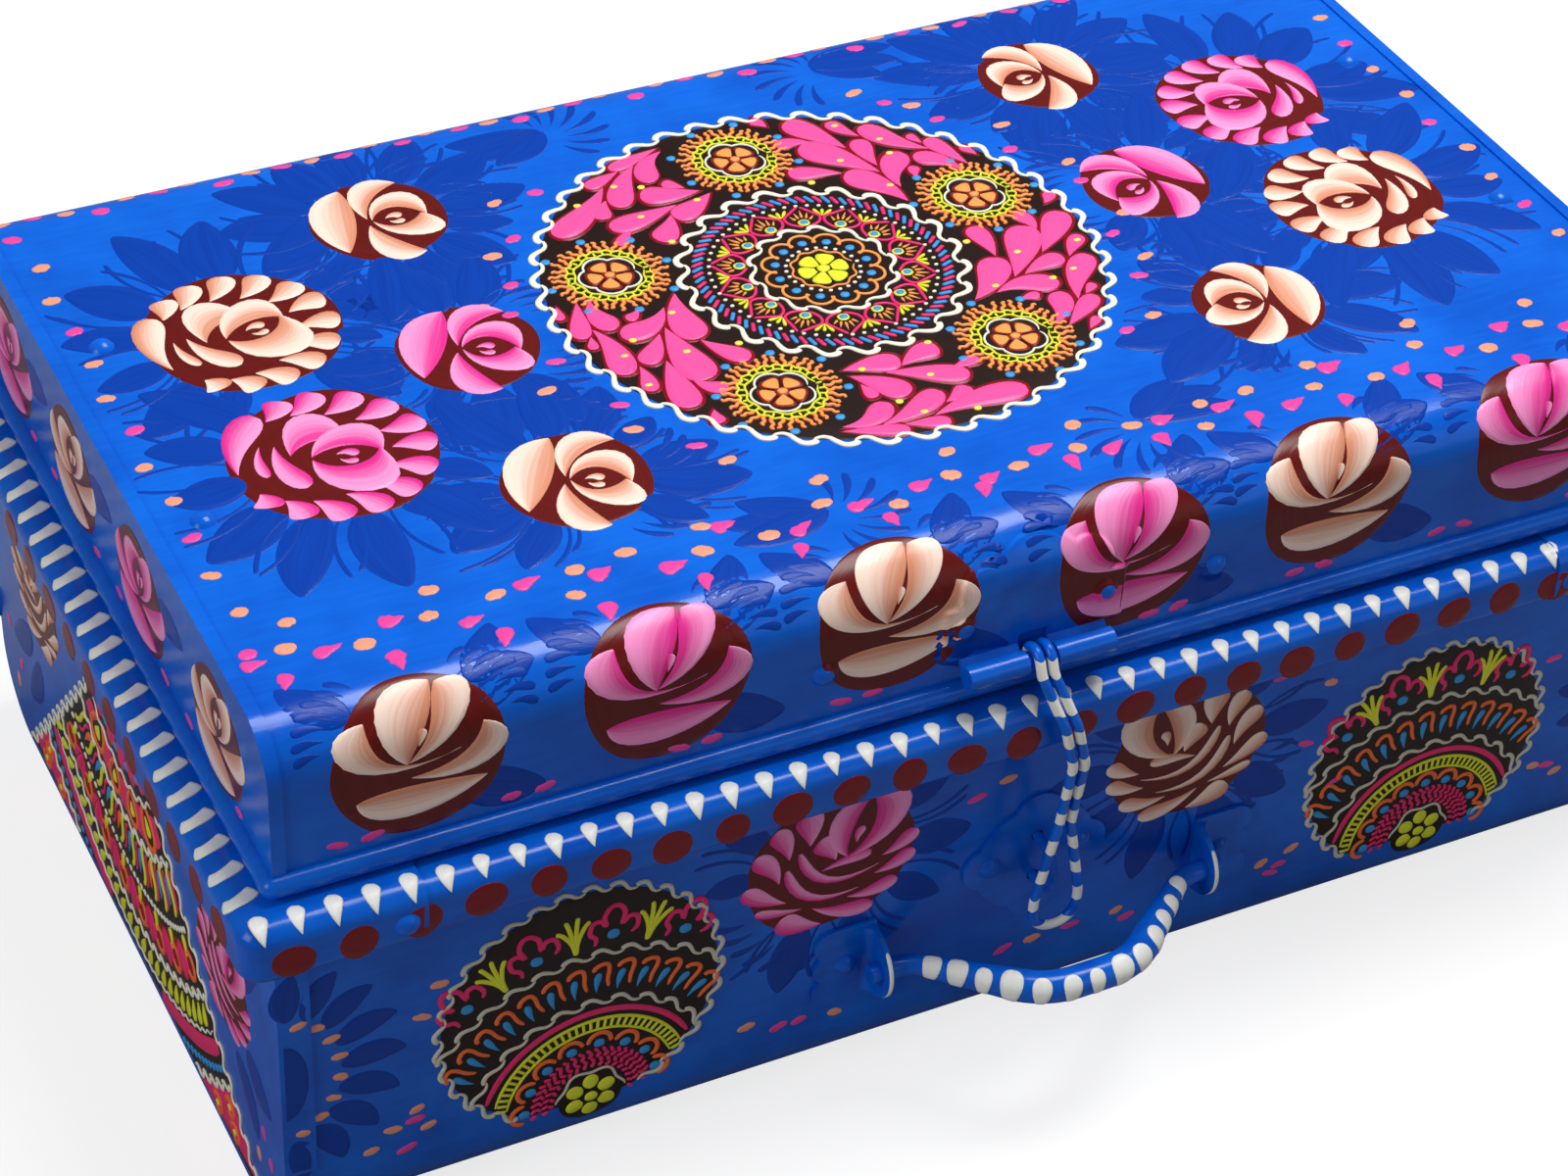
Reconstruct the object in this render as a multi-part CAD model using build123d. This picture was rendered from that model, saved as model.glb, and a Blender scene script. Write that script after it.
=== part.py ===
import os
from math import cos, radians, sin

from build123d import *

# Small tin trunk, in millimetres.
# Origin: centre of the flat underside. +X along the length, -Y towards the hasp, +Z up.

# Sheet, wire and clearances
sheet = 0.6              # tin sheet of the walls, the lid and the rim
plate = 0.8              # stamped plates and hinge leaves
wire_radius = 1.15       # wire of the hasp and of the staple
running_fit = 0.05       # radial play of a pin in its bore
part_gap = 0.3           # air between pieces that move past each other

# Body
body_length = 347.0
body_depth = 201.0
ledge_height = 105.0     # top of the rim ledge above the underside
base_radius = 19.5       # bend between the base and the long walls
corner_flange = 6.6      # end sheet turned round onto the long walls
flange_foot = 25.0       # the turned flange stops above the base bend

# Rim band
rim_reach = 9.0          # ledge width outside the body walls
rim_height = 14.0
rim_edge_radius = 4.5    # rolled outer edge of the ledge
rim_foot_radius = 3.0
rim_corner_radius = 5.5
rim_lap = 10.0           # the long strips run this far under the corner pieces
rim_seam_left = -143.5
rim_seam_right = 129.5
rim_rivet_inset = 4.5    # rivet centre from the edge of the corner piece
rim_rivet_drop = 8.0

# Lip that the lid closes over
lip_height = 8.0         # above the ledge
lip_skirt = 14.0         # below the ledge, against the walls
lip_clearance = 0.8
lip_corner_radius = 2.0

# Lid
lid_inset = 1.0          # the lid walls stand in from the body walls
lid_rise = 39.0          # top of the lid above the ledge
lid_radius = 12.0
hem_radius = 2.6         # rolled hem round the lid's lower edge
hem_wire_radius = 1.95
seam_width = 3.0         # folded seam at each end of the lid
seam_thickness = 0.5
end_flange = 20.0        # end sheet turned in under the lid top
end_rivet_inset = 12.5
end_rivet_spacing = 66.0
end_rivet_shift = 4.5    # the pair sits behind the middle

# Rivets
rivet_shank = 1.4
rivet_head = 2.8
rivet_dome = 1.6
small_head = 2.1
small_dome = 1.1
tail_thickness = 0.8
tail_extra = 0.6

# Hasp plate on the lid and the strip behind it
hasp_x = -3.0
hasp_plate_width = 42.0
hasp_plate_low = 12.0    # above the ledge
hasp_plate_shoulder = 25.0
hasp_arch_radius = 12.0
hasp_arch_wrap = 60.0    # degrees of the lid bend that the arch covers
hasp_lobe_radius = 5.5
hasp_lobe_spacing = 24.0
hasp_rivet_spacing = 34.0
hasp_rivet_height = 20.0
barrel_height = 9.4      # pin axis above the ledge
barrel_length = 14.0
barrel_gap = 7.0
hasp_pin_radius = 1.9
strip_length = 110.0
strip_width = 15.0
strip_shift = -2.0
strip_rivet_spacing = 94.0
strip_rivet_height = 17.5

# Wire hasp, as it hangs just clear of the staple
leg_spacing = 2.9
hook_turn = 250.0        # degrees that each wire end wraps round the pin
hasp_lead_angle = 25.0   # the wires leave the pin at this angle to the vertical
hasp_rim_air = 3.0       # air between the hanging wires and the rim
hasp_lead = 3.0          # straight wire before the legs lean sideways
hasp_shoulder_shift = 4.0
hasp_bend_shift = 6.9    # the legs drift towards the staple by this much
hasp_bend_drop = 15.0
eye_top_drop = 34.0
eye_wide_drop = 55.0
eye_bottom_drop = 64.0
eye_width = 11.1
eye_radius = 5.2
leg_bend_radius = 6.0

# Lock plate and staple
lock_x = 3.6
lock_plate_drop = 52.0   # centre below the ledge
lock_disc_radius = 15.0
lock_lobe_radius = 6.0
lock_lobe_reach = 18.0
lock_rivet_spacing = 23.0
staple_reach = 9.5
staple_height = 12.0     # between the wire centres
staple_radius = 5.0
clinch_length = 4.0
clinch_radius = 1.6

# Carrying bail and its two brackets
handle_x = 5.5
handle_drop = 68.0       # pivot axis below the ledge
pivot_reach = 5.8        # pivot axis out from the body wall
ear_spacing = 82.0       # between the inner faces of the ears
ear_thickness = 1.2
ear_height = 19.0
ear_reach = 10.5
ear_fillet = 2.2
bracket_width = 15.0
bracket_height = 22.0
bracket_lobe_radius = 4.2
bracket_rivet_inset = 7.2
bail_end_radius = 2.4
bail_grip_radius = 3.7
bail_depth = 20.0
bail_flat = 22.0         # length of the outer stretch before its bends
bail_knee = 70.0         # distance between the knees next to the ears
bail_knee_radius = 11.0
bail_bend_radius = 20.0
bail_tip = 2.6           # stub beyond the ear

# Rear hinges
hinge_spacing = 200.0
hinge_width = 36.0
hinge_tongue = 20.0
hinge_rise = 30.0        # lid leaf above the ledge
hinge_pin_radius = 1.25
middle_knuckle = 15.0
hinge_crank_low = 7.4
hinge_crank_high = 10.5
hinge_skirt = 10.0       # body leaf below the ledge
hinge_rivet_spacing = 24.0
hinge_top_rivets = (14.5, 22.5)   # heights above the ledge, wide pair then single
pin_head = 2.1
pin_head_length = 0.9

# Worked out from the sizes above
lid_length = body_length - 2 * lid_inset
lid_depth = body_depth - 2 * lid_inset
wall_top = ledge_height - 2 * sheet
strip_ledge = ledge_height - sheet
hem_z = ledge_height + part_gap + hem_radius
lid_top = ledge_height + lid_rise
body_front = -body_depth / 2
body_back = body_depth / 2
lid_front = -lid_depth / 2
lid_back = lid_depth / 2
rivet_hole = rivet_shank + running_fit
knuckle_radius = hinge_pin_radius + running_fit + plate
hinge_y = lid_back + hem_radius + part_gap / 2 + knuckle_radius
hinge_z = strip_ledge + part_gap + knuckle_radius
hook_radius = hasp_pin_radius + running_fit + wire_radius
barrel_radius = hasp_pin_radius + running_fit + plate
hasp_y = lid_front - part_gap - hook_radius - wire_radius
hasp_z = ledge_height + barrel_height
handle_y = body_front - pivot_reach
handle_z = ledge_height - handle_drop


def on_front(x, y, z):
    """Plane on a surface that faces the front, with its z axis pointing out."""
    return Plane(origin=(x, y, z), x_dir=(1, 0, 0), z_dir=(0, -1, 0))


def on_back(x, y, z):
    """Plane on a surface that faces the back, with its z axis pointing out."""
    return Plane(origin=(x, y, z), x_dir=(-1, 0, 0), z_dir=(0, 1, 0))


def block(x_low, x_high, y_low, y_high, z_low, z_high):
    """Box between two corners."""
    middle = ((x_low + x_high) / 2, (y_low + y_high) / 2, (z_low + z_high) / 2)
    return Pos(*middle) * Box(x_high - x_low, y_high - y_low, z_high - z_low)


def rod(radius, low, high):
    """Round bar along X between two places given as (x, y, z)."""
    length = high[0] - low[0]
    place = Plane(origin=low, x_dir=(0, 1, 0), z_dir=(1, 0, 0))
    return extrude(place * Circle(radius), length)


def rivet(grip, head=rivet_head, dome=rivet_dome):
    """Rivet along Z through sheets of thickness grip, with its domed head on z = 0."""
    crown = (head**2 + dome**2) / (2 * dome)
    cap = Pos(0, 0, dome - crown) * Sphere(crown)
    cap = cap & Pos(0, 0, dome / 2) * Cylinder(head + 1, dome)
    shank = Pos(0, 0, -grip / 2) * Cylinder(rivet_shank, grip)
    tail = Pos(0, 0, -grip - tail_thickness / 2) * Cylinder(rivet_shank + tail_extra, tail_thickness)
    return cap + shank + tail


def drill(solid, places):
    """Rivet holes through a piece at each of the given planes."""
    for place in places:
        solid -= place * Cylinder(rivet_hole, 8 * plate)
    return solid


def channel(depth, low, high, radius, bend_up):
    """Closed outline of a wall section in the YZ plane, with one pair of bent corners."""
    outline = Pos(0, (low + high) / 2) * Rectangle(depth, high - low)
    rows = outline.vertices().group_by(Axis.Y)
    return fillet(rows[-1] if bend_up else rows[0], radius)


def along_x(sketch, x_low, x_high):
    """Extrude a YZ section from x_low to x_high."""
    return extrude(Plane.YZ.offset(x_low) * sketch, x_high - x_low)


# Where the rivets go

def rim_rivet_planes():
    """Rivets that join the rim pieces at their four laps."""
    y = body_depth / 2 + rim_reach
    z = ledge_height - rim_rivet_drop
    columns = (rim_seam_left - rim_rivet_inset, rim_seam_right + rim_rivet_inset)
    return [on_front(x, -y, z) for x in columns] + [on_back(x, y, z) for x in columns]


def lock_rivet_planes():
    """The two rivets of the lock plate, level with the staple."""
    z = ledge_height - lock_plate_drop
    half = lock_rivet_spacing / 2
    return [on_front(lock_x + step, body_front - plate, z) for step in (-half, half)]


def bracket_rivet_planes(side):
    """The one rivet of a bail bracket, outside its ear."""
    x = handle_x + side * (ear_spacing / 2 + bracket_rivet_inset)
    return [on_front(x, body_front - plate, handle_z)]


def hinge_skirt_planes(x):
    """Rivets of a hinge body leaf through the rim skirt."""
    y = body_back + rim_reach - sheet + plate
    z = ledge_height - rim_rivet_drop
    half = hinge_rivet_spacing / 2
    return [on_back(x + step, y, z) for step in (-half, half)]


def hinge_lid_planes(x):
    """Rivets of a hinge lid leaf: a pair, and one above it."""
    wide, single = hinge_top_rivets
    half = hinge_tongue / 4
    y = lid_back + plate
    pair = [on_back(x + step, y, ledge_height + wide) for step in (-half, half)]
    return pair + [on_back(x, y, ledge_height + single)]


def end_rivet_planes(side):
    """Rivets through the lid top into an end sheet's flange."""
    x = side * (lid_length / 2 - end_rivet_inset)
    half = end_rivet_spacing / 2
    return [Plane(origin=(x, end_rivet_shift + step, lid_top)) for step in (-half, half)]


def hasp_rivet_planes():
    """Rivets of the hasp plate, through the backing strip."""
    half = hasp_rivet_spacing / 2
    z = ledge_height + hasp_rivet_height
    return [on_front(hasp_x + step, lid_front - plate, z) for step in (-half, half)]


def strip_rivet_planes():
    """Rivets at the two ends of the backing strip."""
    middle = hasp_x + strip_shift
    half = strip_rivet_spacing / 2
    z = ledge_height + strip_rivet_height
    return [on_front(middle + step, lid_front, z) for step in (-half, half)]


# Body

def make_body_wrap():
    """Front wall, base and back wall, bent from one sheet."""
    outer = channel(body_depth, 0, wall_top, base_radius, False)
    inner = channel(body_depth - 2 * sheet, sheet, wall_top + sheet, base_radius - sheet, False)
    half = body_length / 2 - sheet
    wrap = along_x(outer - inner, -half, half)
    planes = lock_rivet_planes() + bracket_rivet_planes(-1) + bracket_rivet_planes(1)
    wrap = drill(wrap, planes)
    return drill_staple(wrap)


def drill_staple(solid):
    """The two holes that the staple's legs pass through."""
    for step in (-staple_height / 2, staple_height / 2):
        z = ledge_height - lock_plate_drop + step
        solid -= on_front(lock_x, body_front, z) * Cylinder(wire_radius + part_gap, 8 * plate)
    return solid


def make_body_end(side):
    """End sheet with its upright edges turned round onto the long walls."""
    outline = channel(body_depth, 0, wall_top, base_radius, False)
    tall = wall_top - flange_foot
    cover = Pos(0, flange_foot + tall / 2) * Rectangle(body_depth + 2 * sheet, tall)
    core = Pos(0, flange_foot + tall / 2) * Rectangle(body_depth, tall)
    half = body_length / 2
    end = along_x(outline + cover, half - sheet, half)
    end += along_x(cover - core, half - sheet - corner_flange, half - sheet)
    return end if side > 0 else Rot(0, 0, 180) * end


def rim_block(inset, radius_drop):
    """Rounded outer block of the rim, drawn in by inset on every face."""
    x_size = body_length + 2 * (rim_reach - inset)
    y_size = body_depth + 2 * (rim_reach - inset)
    height = rim_height - 2 * inset
    ring = extrude(RectangleRounded(x_size, y_size, rim_corner_radius - radius_drop), height)
    ring = Pos(0, 0, ledge_height - rim_height + inset) * ring
    ring = fillet(ring.faces().sort_by(Axis.Z)[-1].edges(), rim_edge_radius - radius_drop)
    return fillet(ring.faces().sort_by(Axis.Z)[0].edges(), rim_foot_radius - radius_drop)


def make_rim_ring(inset):
    """Hollow rolled rim all the way round: ledge, rolled edge, skirt and foot."""
    ring = rim_block(inset, inset) - rim_block(inset + sheet, inset + sheet)
    low = ledge_height - rim_height - 1
    inner_x = body_length / 2 - sheet
    inner_y = body_depth / 2 - sheet
    ring -= block(-inner_x, inner_x, -inner_y, inner_y, low, ledge_height + 1)
    foot_x = body_length / 2 + sheet
    foot_y = body_depth / 2 + sheet
    top = ledge_height - inset - sheet
    return ring - block(-foot_x, foot_x, -foot_y, foot_y, low, top)


def make_rim_pieces():
    """Two corner pieces, and two long strips that run under them at the laps."""
    over = make_rim_ring(0)
    under = make_rim_ring(sheet)
    far_x = body_length / 2 + 2 * rim_reach
    far_y = body_depth / 2 + 2 * rim_reach
    tall = 2 * ledge_height
    left = over & block(-far_x, rim_seam_left, -far_y, far_y, 0, tall)
    right = over & block(rim_seam_right, far_x, -far_y, far_y, 0, tall)
    strip_low = rim_seam_left - rim_lap
    strip_high = rim_seam_right + rim_lap
    front = under & block(strip_low, strip_high, -far_y, 0, 0, tall)
    back = under & block(strip_low, strip_high, 0, far_y, 0, tall)
    planes = rim_rivet_planes()
    hinge_planes = []
    for step in (-hinge_spacing / 2, hinge_spacing / 2):
        hinge_planes += hinge_skirt_planes(step)
    return {
        "rim_band_left": drill(left, planes),
        "rim_band_right": drill(right, planes),
        "rim_band_front": drill(front, planes),
        "rim_band_back": drill(back, planes + hinge_planes),
    }


def frame_ring(x_half, y_half, z_low, z_high, wall):
    """Upright rectangular collar, with its outer faces at x_half and y_half."""
    outer = RectangleRounded(2 * x_half, 2 * y_half, lip_corner_radius)
    inner = RectangleRounded(2 * (x_half - wall), 2 * (y_half - wall), lip_corner_radius - sheet)
    return Pos(0, 0, z_low) * extrude(outer - inner, z_high - z_low)


def make_inner_lip():
    """Stepped collar: against the walls below, standing inside the lid above."""
    wall_x = body_length / 2 - sheet
    wall_y = body_depth / 2 - sheet
    lip_x = lid_length / 2 - hem_radius - lip_clearance
    lip_y = lid_depth / 2 - hem_radius - lip_clearance
    step = wall_x - lip_x + sheet
    lip = frame_ring(wall_x, wall_y, ledge_height - lip_skirt, strip_ledge, sheet)
    lip += frame_ring(wall_x, wall_y, strip_ledge - sheet, strip_ledge, step)
    lip += frame_ring(lip_x, lip_y, strip_ledge - sheet, ledge_height + lip_height, sheet)
    return lip


# Lock plate and staple

def make_lock_plate():
    """Four-lobed plate round the staple."""
    outline = Circle(lock_disc_radius)
    reach = lock_lobe_reach - lock_lobe_radius
    for x, y in ((reach, 0), (-reach, 0), (0, reach), (0, -reach)):
        outline += Pos(x, y) * Circle(lock_lobe_radius)
    place = on_front(lock_x, body_front, ledge_height - lock_plate_drop)
    solid = drill(extrude(place * outline, plate), lock_rivet_planes())
    return drill_staple(solid)


def make_staple():
    """Wire loop in an upright plane, with its ends clinched behind the wall."""
    inside = body_front + sheet + wire_radius
    outside = body_front - staple_reach + wire_radius
    middle = ledge_height - lock_plate_drop
    high = middle + staple_height / 2
    low = middle - staple_height / 2
    points = [
        (lock_x, inside, high + clinch_length),
        (lock_x, inside, high),
        (lock_x, outside, high),
        (lock_x, outside, low),
        (lock_x, inside, low),
        (lock_x, inside, low - clinch_length),
    ]
    bends = [clinch_radius, staple_radius, staple_radius, clinch_radius]
    path = FilletPolyline(*points, radius=bends)
    return sweep(Plane(origin=path @ 0, z_dir=path % 0) * Circle(wire_radius), path=path)


# Carrying bail

def make_bracket(side):
    """Wavy plate with a half-round ear turned up from its inner edge."""
    lobe = bracket_lobe_radius
    outline = Pos((bracket_width - lobe) / 2, 0) * Rectangle(bracket_width - lobe, bracket_height)
    for y in (lobe - bracket_height / 2, 0, bracket_height / 2 - lobe):
        outline += Pos(bracket_width - lobe, y) * Circle(lobe)
    place = on_front(handle_x + ear_spacing / 2, body_front, handle_z)
    base = extrude(place * outline, plate)
    front_half = Pos(ear_reach / 2, 0) * Rectangle(ear_reach, ear_height)
    ear_face = Ellipse(ear_reach, ear_height / 2) & front_half
    ear_place = Plane(
        origin=(handle_x + ear_spacing / 2, body_front, handle_z),
        x_dir=(0, -1, 0),
        z_dir=(1, 0, 0),
    )
    ear = extrude(ear_place * ear_face, ear_thickness)
    bracket = base + ear
    seam_x = handle_x + ear_spacing / 2 + ear_thickness
    seam = bracket.edges().filter_by(Axis.Z).filter_by_position(Axis.X, seam_x - 0.01, seam_x + 0.01)
    bracket = fillet(seam, ear_fillet)
    bore = rod(
        bail_end_radius + running_fit,
        (seam_x - 2 * ear_thickness, handle_y, handle_z),
        (seam_x + ear_fillet, handle_y, handle_z),
    )
    bracket = drill(bracket - bore, bracket_rivet_planes(1))
    if side > 0:
        return bracket
    middle = Pos(handle_x, 0, handle_z)
    return middle * Rot(0, 180, 0) * Pos(-handle_x, 0, -handle_z) * bracket


def round_bar(path, radius):
    """Round bar of one radius along a path."""
    return sweep(Plane(origin=path @ 0, z_dir=path % 0) * Circle(radius), path=path)


def make_bail():
    """Bowed bail, thick in the grip, with its stubs in the ears. It stands straight out."""
    end = ear_spacing / 2 + ear_thickness + bail_tip
    points = [
        (-end, 0),
        (-bail_knee / 2, 0),
        (-bail_flat / 2, bail_depth),
        (bail_flat / 2, bail_depth),
        (bail_knee / 2, 0),
        (end, 0),
    ]
    bends = [bail_knee_radius, bail_bend_radius, bail_bend_radius, bail_knee_radius]
    place = Plane(origin=(handle_x, handle_y, handle_z), x_dir=(1, 0, 0), z_dir=(0, 0, 1))
    line = FilletPolyline(*[(x, -y) for x, y in points], radius=bends)
    runs = (place * line).edges().sort_by(Axis.X)
    bail = round_bar(Wire(runs[0:2]), bail_end_radius)
    bail += round_bar(Wire(runs[7:9]), bail_end_radius)
    bail += round_bar(Wire(runs[3:6]), bail_grip_radius)
    for arm, thin, thick in ((runs[2], 0, 1), (runs[6], 1, 0)):
        thin_end = Plane(origin=arm @ thin, z_dir=arm % thin) * Circle(bail_end_radius)
        thick_end = Plane(origin=arm @ thick, z_dir=arm % thick) * Circle(bail_grip_radius)
        bail += loft([thin_end, thick_end])
    return bail


# Lid

def hem_roll(x_low, x_high, y):
    """Outer skin of a rolled hem along X."""
    return rod(hem_radius, (x_low, y, hem_z), (x_high, y, hem_z))


def hem_bore(x_low, x_high, y):
    """Room for the hem wire along X."""
    return rod(hem_wire_radius + running_fit, (x_low, y, hem_z), (x_high, y, hem_z))


def make_lid_wrap():
    """Lid front, top and back in one sheet, with rolled long hems and folded end seams."""
    inner_low = hem_z - lid_radius
    outer = channel(lid_depth, hem_z, lid_top, lid_radius, True)
    inner = channel(lid_depth - 2 * sheet, inner_low, lid_top - sheet, lid_radius - sheet, True)
    half = lid_length / 2
    wrap = along_x(outer - inner, sheet - half, half - sheet)
    seam_depth = lid_depth + 2 * seam_thickness
    seam = channel(seam_depth, hem_z, lid_top + seam_thickness, lid_radius + seam_thickness, True)
    for low, high in ((-half, seam_width - half), (half - seam_width, half)):
        wrap += along_x(seam - outer, low, high)
    for y in (lid_front, lid_back):
        wrap += hem_roll(-half, half, y)
        wrap += Pos(-half, y, hem_z) * Sphere(hem_radius)
        wrap += Pos(half, y, hem_z) * Sphere(hem_radius)
    for y in (lid_front, lid_back):
        wrap -= hem_bore(-half, half, y)
    planes = end_rivet_planes(-1) + end_rivet_planes(1) + hasp_rivet_planes() + strip_rivet_planes()
    for x in (-hinge_spacing / 2, hinge_spacing / 2):
        planes += hinge_lid_planes(x)
    return drill(wrap, planes)


def make_lid_end(side):
    """End sheet with a flange turned in under the wrap and a rolled hem below."""
    outline = channel(lid_depth, hem_z, lid_top, lid_radius, True)
    inside = channel(lid_depth - 2 * sheet, hem_z, lid_top - sheet, lid_radius - sheet, True)
    shell = channel(lid_depth - 4 * sheet, hem_z, lid_top - 2 * sheet, lid_radius - 2 * sheet, True)
    half = lid_length / 2
    end = along_x(outline, half - sheet, half)
    end += along_x(inside - shell, half - end_flange, half - sheet)
    hem_place = Plane(origin=(half, lid_front, hem_z), x_dir=(1, 0, 0), z_dir=(0, 1, 0))
    end += extrude(hem_place * Circle(hem_radius), lid_depth)
    end -= extrude(hem_place * Circle(hem_wire_radius + running_fit), lid_depth)
    for y in (lid_front, lid_back):
        end -= hem_roll(0, half, y)
        end -= Pos(half, y, hem_z) * Sphere(hem_radius)
        outside = sorted((y, y + (-3 if y < 0 else 3) * hem_radius))
        end -= block(0, half + seam_width, *outside, 0, hem_z + hem_radius)
    if side < 0:
        end = Rot(0, 0, 180) * end
    return drill(end, end_rivet_planes(side))


def make_hem_wires():
    """The four straight wires inside the rolled hem."""
    half = lid_length / 2
    wires = [rod(hem_wire_radius, (-half, y, hem_z), (half, y, hem_z)) for y in (lid_front, lid_back)]
    short = lid_depth - 2 * (hem_radius + part_gap)
    for x in (-half, half):
        place = Plane(origin=(x, -short / 2, hem_z), x_dir=(1, 0, 0), z_dir=(0, 1, 0))
        wires.append(extrude(place * Circle(hem_wire_radius), short))
    return Compound(children=wires)


# Hasp

def hasp_plate_outline():
    """Shouldered plate with two lobes and a round arch, in X and Z."""
    low = ledge_height + hasp_plate_low
    shoulder = ledge_height + hasp_plate_shoulder
    outline = Pos(hasp_x, (low + shoulder) / 2) * RectangleRounded(hasp_plate_width, shoulder - low, 2)
    outline += Pos(hasp_x, (low + shoulder) / 2 - low / 2) * Rectangle(hasp_plate_width - 4, low)
    for step in (-hasp_lobe_spacing / 2, hasp_lobe_spacing / 2):
        outline += Pos(hasp_x + step, shoulder + hasp_lobe_radius / 2) * Circle(hasp_lobe_radius)
    return outline + Pos(hasp_x, shoulder) * Circle(hasp_arch_radius)


def make_hasp_plate():
    """Stamped plate that follows the lid's bend, cranked out to two pin barrels."""
    low = ledge_height + hasp_plate_low
    bend_z = lid_top - lid_radius
    wall = Pos(lid_front - plate / 2, (low + bend_z) / 2) * Rectangle(plate, bend_z - low)
    bend = Circle(lid_radius + plate) - Circle(lid_radius)
    reach = 2 * lid_radius
    wedge = make_face(
        Polyline(
            (0, 0),
            (-reach, 0),
            (-reach, reach * sin(radians(hasp_arch_wrap))),
            (-reach * cos(radians(hasp_arch_wrap)), reach * sin(radians(hasp_arch_wrap))),
            close=True,
        )
    )
    section = wall + Pos(lid_front + lid_radius, bend_z) * (bend & wedge)
    flat = along_x(section, hasp_x - hasp_plate_width, hasp_x + hasp_plate_width)
    face = Plane(origin=(0, lid_front - reach, 0), x_dir=(1, 0, 0), z_dir=(0, -1, 0))
    flat = flat & extrude(face * hasp_plate_outline(), -3 * reach)
    crank = make_face(
        Polyline(
            (lid_front, low),
            (lid_front - plate, low),
            (hasp_y + barrel_radius - plate, hasp_z + plate),
            (hasp_y + barrel_radius - plate, hasp_z),
            (hasp_y + barrel_radius, hasp_z),
            close=True,
        )
    )
    ring = Pos(hasp_y, hasp_z) * Circle(barrel_radius)
    half_gap = barrel_gap / 2
    for start in (hasp_x - half_gap - barrel_length, hasp_x + half_gap):
        flat += along_x(crank + ring, start, start + barrel_length)
    full = half_gap + barrel_length
    ends = (hasp_x - full, hasp_y, hasp_z), (hasp_x + full, hasp_y, hasp_z)
    flat -= rod(hasp_pin_radius + running_fit, *ends)
    left, right = hasp_x - half_gap, hasp_x + half_gap
    notch = block(left, right, lid_front - 3 * plate, lid_front, low - plate, low + 3 * plate)
    return drill(flat - notch, hasp_rivet_planes())


def make_hasp_pin():
    """Pin that runs through both barrels of the hasp plate."""
    full = barrel_gap / 2 + barrel_length
    return rod(hasp_pin_radius, (hasp_x - full, hasp_y, hasp_z), (hasp_x + full, hasp_y, hasp_z))


def make_backing_strip():
    """Flat strip inside the lid front that the plate is riveted to."""
    middle = hasp_x + strip_shift
    z = ledge_height + strip_rivet_height
    inner = lid_front + sheet
    half = strip_length / 2
    low, high = z - strip_width / 2, z + strip_width / 2
    strip = block(middle - half, middle + half, inner, inner + plate, low, high)
    return drill(strip, hasp_rivet_planes() + strip_rivet_planes())


def hasp_leg(side):
    """Corners of one wire leg, from the pin down to the bottom of the eye."""
    half = leg_spacing / 2
    lead = radians(hasp_lead_angle)
    down = (-sin(lead), -cos(lead))
    start_y = hasp_y - hook_radius * cos(lead)
    start_z = hasp_z + hook_radius * sin(lead)
    clear_y = body_front - rim_reach - hasp_rim_air - wire_radius
    eye_y = body_front - staple_reach - part_gap - wire_radius
    shoulder_z = start_z + (clear_y - start_y) / down[0] * down[1]
    top = hasp_x + side * half
    return [
        (top, start_y, start_z),
        (top, start_y + hasp_lead * down[0], start_z + hasp_lead * down[1]),
        (top + hasp_shoulder_shift, clear_y, shoulder_z),
        (top + hasp_bend_shift, clear_y, ledge_height - hasp_bend_drop),
        (lock_x + side * half, eye_y, ledge_height - eye_top_drop),
        (lock_x + side * eye_width / 2, eye_y, ledge_height - eye_wide_drop),
        (lock_x + side * eye_width / 2, eye_y, ledge_height - eye_bottom_drop),
    ]


def hasp_hook(side):
    """Arc of the wire end round the pin, ending where its leg begins."""
    x = hasp_x + side * leg_spacing / 2
    last = 180 - hasp_lead_angle
    turns = [radians(last - hook_turn * part) for part in (1, 0.5, 0)]
    points = [(x, hasp_y + hook_radius * cos(a), hasp_z + hook_radius * sin(a)) for a in turns]
    return ThreePointArc(*points)


def make_hasp_wire():
    """One wire: hook, leg, eye, leg and hook."""
    corners = hasp_leg(-1) + hasp_leg(1)[::-1]
    bends = [leg_bend_radius] * 3 + [2 * leg_bend_radius, 2 * leg_bend_radius, eye_radius]
    line = FilletPolyline(*corners, radius=bends + bends[::-1])
    path = Wire(hasp_hook(-1).edges() + line.edges() + hasp_hook(1).edges())
    start = hasp_hook(-1)
    return sweep(Plane(origin=start @ 0, z_dir=start % 0) * Circle(wire_radius), path=path)


# Rear hinges

def knuckle(x_low, x_high):
    """Solid hinge knuckle on the hinge axis."""
    return rod(knuckle_radius, (x_low, hinge_y, hinge_z), (x_high, hinge_y, hinge_z))


def knuckle_bore(x):
    """Bore for the hinge pin, through all three knuckles."""
    far = hinge_width
    bore = hinge_pin_radius + running_fit
    return rod(bore, (x - far, hinge_y, hinge_z), (x + far, hinge_y, hinge_z))


def folded_leaf(offset):
    """Area under the ledge and behind the skirt of the rear strip, grown by offset."""
    y_high = body_back + rim_reach - sheet + offset
    z_high = strip_ledge + offset
    low = ledge_height - hinge_skirt
    area = Pos((hinge_y + y_high) / 2, (low + z_high) / 2) * Rectangle(y_high - hinge_y, z_high - low)
    corner = area.vertices().sort_by(Axis.Y)[-2:].sort_by(Axis.X)[-1]
    return fillet(corner, rim_edge_radius - sheet + offset)


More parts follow.
